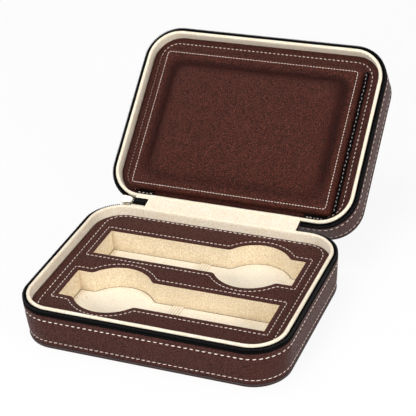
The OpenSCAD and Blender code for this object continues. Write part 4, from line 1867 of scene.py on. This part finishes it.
@dataclass
class SoftHinge:
    """The parts that bend between base and lid: leatherette spine, cream gusset and closed zip end."""

    wardrobe: Wardrobe
    # The gusset and the welts by points of (inset from the outer face, height above the half's rim).
    gusset_base: tuple[Point2, ...] = ((6.25, -6.6), (6.3, -3.0), (6.3, -0.3), (5.9, 1.0), (4.9, 1.75),
                                       (3.4, 1.9))
    gusset_lid: tuple[Point2, ...] = ((3.4, 1.9), (4.9, 1.75), (5.9, 1.0), (6.4, -0.5), (6.6, -3.0),
                                      (6.7, -6.6))
    gusset_t: float = 0.45
    welt: tuple[Point2, ...] = ((4.9, 1.2), (4.1, 1.45), (3.0, 1.53), (2.1, 1.4), (1.7, 1.05))
    welt_t: float = 0.3
    welt_short: float = 0.2
    hem_foot: float = 25.7
    hem_out: float = 0.25
    foot_in: float = 0.34
    head_in: float = 0.32
    arch_steps: int = 18
    tape_x: Point2 = (-72.7, -61.4)
    tape_t: float = 0.5
    end_in: float = 3.0
    end_up: float = 0.9
    end_steps: int = 14
    coil_rise: float = 0.55
    coil_back: float = 0.22
    coil_w: float = 0.12
    coil_up: float = 0.5
    coil_short: float = 0.4
    stitch_hem: Stitch = Stitch(length=6.2, pitch=6.2, width=0.5, height=0.4, sink=0.2, slant=0.0)
    end_turn: Stitch = Stitch(length=1.1, pitch=1.25, width=2.0, height=1.1, sink=0.5, slant=0)

    def _band(self, name: str, section: list[Point2], ends: Point2, across: int,
              thick: float) -> bpy.types.Object:
        """A band of cloth that follows a section in the hinge's plane.

        Args:
            name: the new object's name.
            section: (Y, Z) points of the section, from base to lid.
            ends: the band's left and right end.
            across: divisions along X.
            thick: thickness, laid below the section.

        Returns:
            The solid band.
        """
        left, right = ends
        obj = flat_grid(name, across, len(section) - 1)
        put_points(obj, [(left + (right - left) * k / across, y, z)
                         for y, z in section for k in range(across + 1)])
        apply_modifier(obj, "SOLIDIFY", thickness=thick * MM, offset=-1)
        smooth(obj, 50)
        return obj

    def _bend(self, obj: bpy.types.Object, finish: Finish, slot: str, start: Point2, end: Point2,
              *nodes: str) -> None:
        """Dresses a piece and lets it bend from base to lid.

        Args:
            obj: the piece, in the part's frame.
            finish: its finish.
            slot: its kind of surface; not used.
            start: Y and Z where it leaves the base; not used.
            end: Y and Z where it reaches the lid; not used.
            nodes: the CAD nodes that it stands in for.
        """
        self.wardrobe.dress(obj, finish)
        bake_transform(obj)
        if nodes:
            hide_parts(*nodes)
        LOG.info("%s: %d faces", obj.name, len(obj.data.polygons))

    @staticmethod
    def _above_rim(half: Half, points: tuple[Point2, ...]) -> list[Point2]:
        """Turns points given as (inset, height above a half's rim) into Y and Z in the part's frame."""
        return [SHELL.hinge_point(inset, SHELL.height(half) + up, half) for inset, up in points]

    @staticmethod
    def _smooth_path(points: list[Point2], per_leg: int) -> list[Point2]:
        """A Catmull-Rom path through points.

        Args:
            points: the points.
            per_leg: steps from each point to the next.

        Returns:
            The path's points.
        """
        path: list[Point2] = []
        ring = [points[0]] + points + [points[-1]]
        for k in range(1, len(ring) - 2):
            p0, p1, p2, p3 = (np.array(ring[k + j - 1], float) for j in range(4))
            for step in range(per_leg):
                t = step / per_leg
                p = 0.5 * (2 * p1 + (p2 - p0) * t + (2 * p0 - 5 * p1 + 4 * p2 - p3) * t ** 2
                           + (3 * p1 - p0 - 3 * p2 + p3) * t ** 3)
                path.append((float(p[0]), float(p[1])))
        path.append(points[-1])
        return path

    def gusset(self) -> None:
        """Cream lining of the hinge: up the base's lining, over both rolls and down to the lid's facing."""
        base = self._above_rim(Half.BASE, self.gusset_base)
        lid = self._above_rim(Half.LID, self.gusset_lid)
        path = self._smooth_path(base + lid, 5)
        half_w = SHELL.hinge_half
        obj = self._band("hinge_lining", path, (-half_w, half_w), 60, self.gusset_t)
        ripple(obj, "gusset_wave", size=0.022, height=0.0005)
        self._bend(obj, LINING, "suede_lining", base[-1], lid[0], "hinge_gusset")

    def hems(self) -> None:
        """Narrow turned hems where the hinge's lining ends on the base's lining."""
        y = SHELL.depth / 2 - SHELL.wall - self.hem_out
        for name, x in (("left", -SHELL.hinge_half), ("right", SHELL.hinge_half)):
            line = [(x, y, self.hem_foot), (x, y, SHELL.base_h)]
            hem = Seam(f"hinge_hem_{name}", self.stitch_hem, 37).lay(line, [(0, -1, 0)] * 2, False)
            self.wardrobe.hand_over(hem, VELVET, Half.BASE, "suede_lining")

    def spine(self) -> None:
        """Leatherette outside of the hinge: an arch from the base's wall to the lid's wall."""
        foot = SHELL.hinge_point(self.foot_in + SHELL.cover, SHELL.base_h - SHELL.tape_h, Half.BASE)
        head = SHELL.hinge_point(self.head_in + SHELL.cover, SHELL.lid_h - SHELL.tape_h, Half.LID)
        half = math.radians(SHELL.open_angle / 2)
        radius = math.dist(foot, head) / 2 / math.sin(half)
        tilt = math.atan2(head[1] - foot[1], head[0] - foot[0])
        sag = radius * math.cos(half)
        middle = ((foot[0] + head[0]) / 2, (foot[1] + head[1]) / 2)
        centre = (middle[0] + sag * math.sin(tilt), middle[1] - sag * math.cos(tilt))
        path = []
        for k in range(self.arch_steps + 1):
            a = math.pi / 2 + tilt + half - 2 * half * k / self.arch_steps
            path.append((centre[0] + radius * math.cos(a), centre[1] + radius * math.sin(a)))
        ends = (-SHELL.hinge_half, SHELL.hinge_half)
        obj = self._band("hinge_leather", path, ends, 40, SHELL.cover * 0.9)
        self._bend(obj, LEATHER, "leatherette", foot, head, "hinge_spine")

    def zip_end(self) -> None:
        """The closed end of the zip: two tape edges with the meshed coil standing between them."""
        low, high = (self._above_rim(half, ((self.end_in, self.end_up),))[0] for half in Half)
        path = []
        for k in range(self.end_steps + 1):
            t = k / self.end_steps
            lift = self.coil_rise * bell(t, 0.5, self.coil_w)
            path.append((low[0] + (high[0] - low[0]) * t - lift * self.coil_back,
                         low[1] + (high[1] - low[1]) * t + lift))
        obj = self._band("zip_end", path, self.tape_x, 16, self.tape_t)
        self._bend(obj, BLACK_TAPE_AND_SHADE, "zip_tape", low, high, "zip_end_tape")
        y, z = (low[0] + high[0]) / 2, (low[1] + high[1]) / 2 + self.coil_up
        line = [(self.tape_x[0] + self.coil_short, y, z), (self.tape_x[1] - self.coil_short, y, z)]
        tilt = math.radians(SHELL.open_angle / 2 - 90)
        normal = (0, math.sin(tilt), math.cos(tilt))
        coil = Seam("zip_end_coil", self.end_turn, 41).lay(line, [normal] * 2, False)
        self._bend(coil, COIL, "zip_coil", low, high)

    def welts(self) -> None:
        """The lining's rolled edges that close in on the zip's end from both halves."""
        ends = (self.tape_x[0] + self.welt_short, self.tape_x[1])
        for half in Half:
            path = self._above_rim(half, self.welt)
            if half is Half.LID:
                path.reverse()
            obj = self._band(f"{half.value}_zip_welt", path, ends, 12, self.welt_t)
            self.wardrobe.hand_over(obj, LINING, half, "suede_lining")

    def build(self) -> None:
        """Builds the pieces that bend and dresses the slider and its pull."""
        self.welts()
        self.gusset()
        self.hems()
        self.spine()
        self.zip_end()
        self.wardrobe.dress_nodes(NICKEL, "zip_slider", "zip_pull")


# ---------------------------------------------------------------------------------------------
# Camera, light and floor
# ---------------------------------------------------------------------------------------------


@dataclass(frozen=True)
class View:
    """The main camera, by its bearing round the case and its roll, in degrees and millimetres."""

    azimuth: float = 24.312
    elevation: float = 30.807
    roll: float = -4.415
    distance: float = 991.4
    target: Point3 = (0.0, 20.0, 50.0)
    slide_x: float = 12.35
    slide_y: float = 18.9
    lens: float = 120.19
    sensor: float = 36.0

    def build(self) -> None:
        """Places the camera and makes it the scene's."""
        az, el, roll = (math.radians(a) for a in (self.azimuth, self.elevation, self.roll))
        back = Vector((math.sin(az) * math.cos(el), -math.cos(az) * math.cos(el), math.sin(el)))
        level = Vector((math.cos(az), math.sin(az), 0))
        upright = back.cross(level)
        right = level * math.cos(roll) + upright * math.sin(roll)
        up = upright * math.cos(roll) - level * math.sin(roll)
        place = (Vector(self.target) + back * self.distance + right * self.slide_x + up * self.slide_y) * MM
        data = bpy.data.cameras.new("view")
        data.lens, data.sensor_width = self.lens, self.sensor
        camera = bpy.data.objects.new("view", data)
        bpy.context.collection.objects.link(camera)
        turn = Matrix((right, up, back)).transposed().to_4x4()
        camera.matrix_world = Matrix.Translation(place) @ turn
        bpy.context.scene.camera = camera


@dataclass(frozen=True)
class Softbox:
    """One area lamp aimed at the case, in metres and watts."""

    name: str
    place: Point3
    size: float
    power: float
    aim: Point3 = (0, 0.05, 0.03)

    def build(self) -> None:
        """Adds the lamp, turned towards the middle of the case."""
        data = bpy.data.lights.new(self.name, "AREA")
        data.energy, data.size = self.power, self.size
        lamp = bpy.data.objects.new(self.name, data)
        bpy.context.collection.objects.link(lamp)
        spot = Vector(self.place)
        turn = (Vector(self.aim) - spot).to_track_quat("-Z", "Y").to_matrix().to_4x4()
        lamp.matrix_world = Matrix.Translation(spot) @ turn


@dataclass
class Studio:
    """Pale floor, white surroundings and three softboxes."""

    lamps: tuple[Softbox, ...] = (Softbox("key", (-0.3, -1.3, 0.75), 0.5, 10.5),
                                  Softbox("top", (-0.35, -0.1, 1.4), 0.8, 8.0),
                                  Softbox("side", (1.2, -0.45, 0.6), 0.6, 10.0))
    world_level: float = 0.29
    floor_size: float = 6.0
    floor_z: float = -0.0002
    floor_grey: float = 0.9
    floor_glow: float = 0.9

    @staticmethod
    def _seen(n: Nodes) -> bpy.types.Node:
        """A mask of the rays that see the surroundings: camera, reflected and transmitted ones.

        Args:
            n: the node helper of the tree that it goes into.

        Returns:
            The node whose first output is the mask.
        """
        path = n.add("LightPath")
        direct = n.maths("MAXIMUM", (path, "Is Camera Ray"), (path, "Is Glossy Ray"))
        return n.maths("MAXIMUM", (direct, 0), (path, "Is Transmission Ray"))

    @staticmethod
    def _mixed(n: Nodes, amount: bpy.types.Node, shaders: tuple[bpy.types.Node, bpy.types.Node],
               out: bpy.types.Node) -> None:
        """Sends a mix of two shaders to an output.

        Args:
            n: the node helper.
            amount: the node whose first output is the second shader's share.
            shaders: the two shaders.
            out: the output node.
        """
        mix = n.fed(amount, 0, "MixShader", 0)
        for k, shader in enumerate(shaders):
            n.link(shader, 0, mix, k + 1)
        n.link(mix, 0, out, 0)

    def floor(self) -> None:
        """A wide pale floor that looks white where nothing shades it."""
        deselect()
        bpy.ops.mesh.primitive_grid_add(x_subdivisions=8, y_subdivisions=8, size=self.floor_size,
                                        location=(0, 0, self.floor_z))
        obj = bpy.context.object
        obj.name = "floor"
        mat = bpy.data.materials.new("pale_floor")
        mat.use_nodes = True
        n = Nodes(mat.node_tree)
        out = n.add("OutputMaterial")
        base = n.add("BsdfPrincipled", Roughness=0.9)
        base.inputs["Base Color"].default_value = (*(self.floor_grey,) * 3, 1)
        glow = n.add("Emission", Strength=1.0)
        self._mixed(n, n.maths("MULTIPLY", (self._seen(n), 0), self.floor_glow), (base, glow), out)
        obj.data.materials.append(mat)

    def world(self) -> None:
        """Even surroundings, white where the camera or a reflection sees them."""
        world = bpy.data.worlds.new("studio")
        bpy.context.scene.world = world
        world.use_nodes = True
        n = Nodes(world.node_tree)
        out = n.add("OutputWorld")
        light, seen = (n.add("Background", Strength=level) for level in (self.world_level, 1.0))
        for node in (light, seen):
            node.inputs["Color"].default_value = (1, 1, 1, 1)
        self._mixed(n, self._seen(n), (light, seen), out)

    def build(self) -> None:
        """Sets the stage."""
        bpy.context.scene.view_settings.view_transform = "Standard"
        self.floor()
        self.world()
        for lamp in self.lamps:
            lamp.build()


def main() -> None:
    """Builds the case round the frame, then the camera and the stage."""
    logging.basicConfig(level=logging.INFO, format="%(name)s: %(message)s")
    wardrobe = Wardrobe()
    View().build()
    for half in Half:
        OuterShell(half, wardrobe).build()
    Tray(wardrobe).build()
    LidLining(wardrobe).build()
    SoftHinge(wardrobe).build()
    Studio().build()


if __name__ == "__main__":
    main()
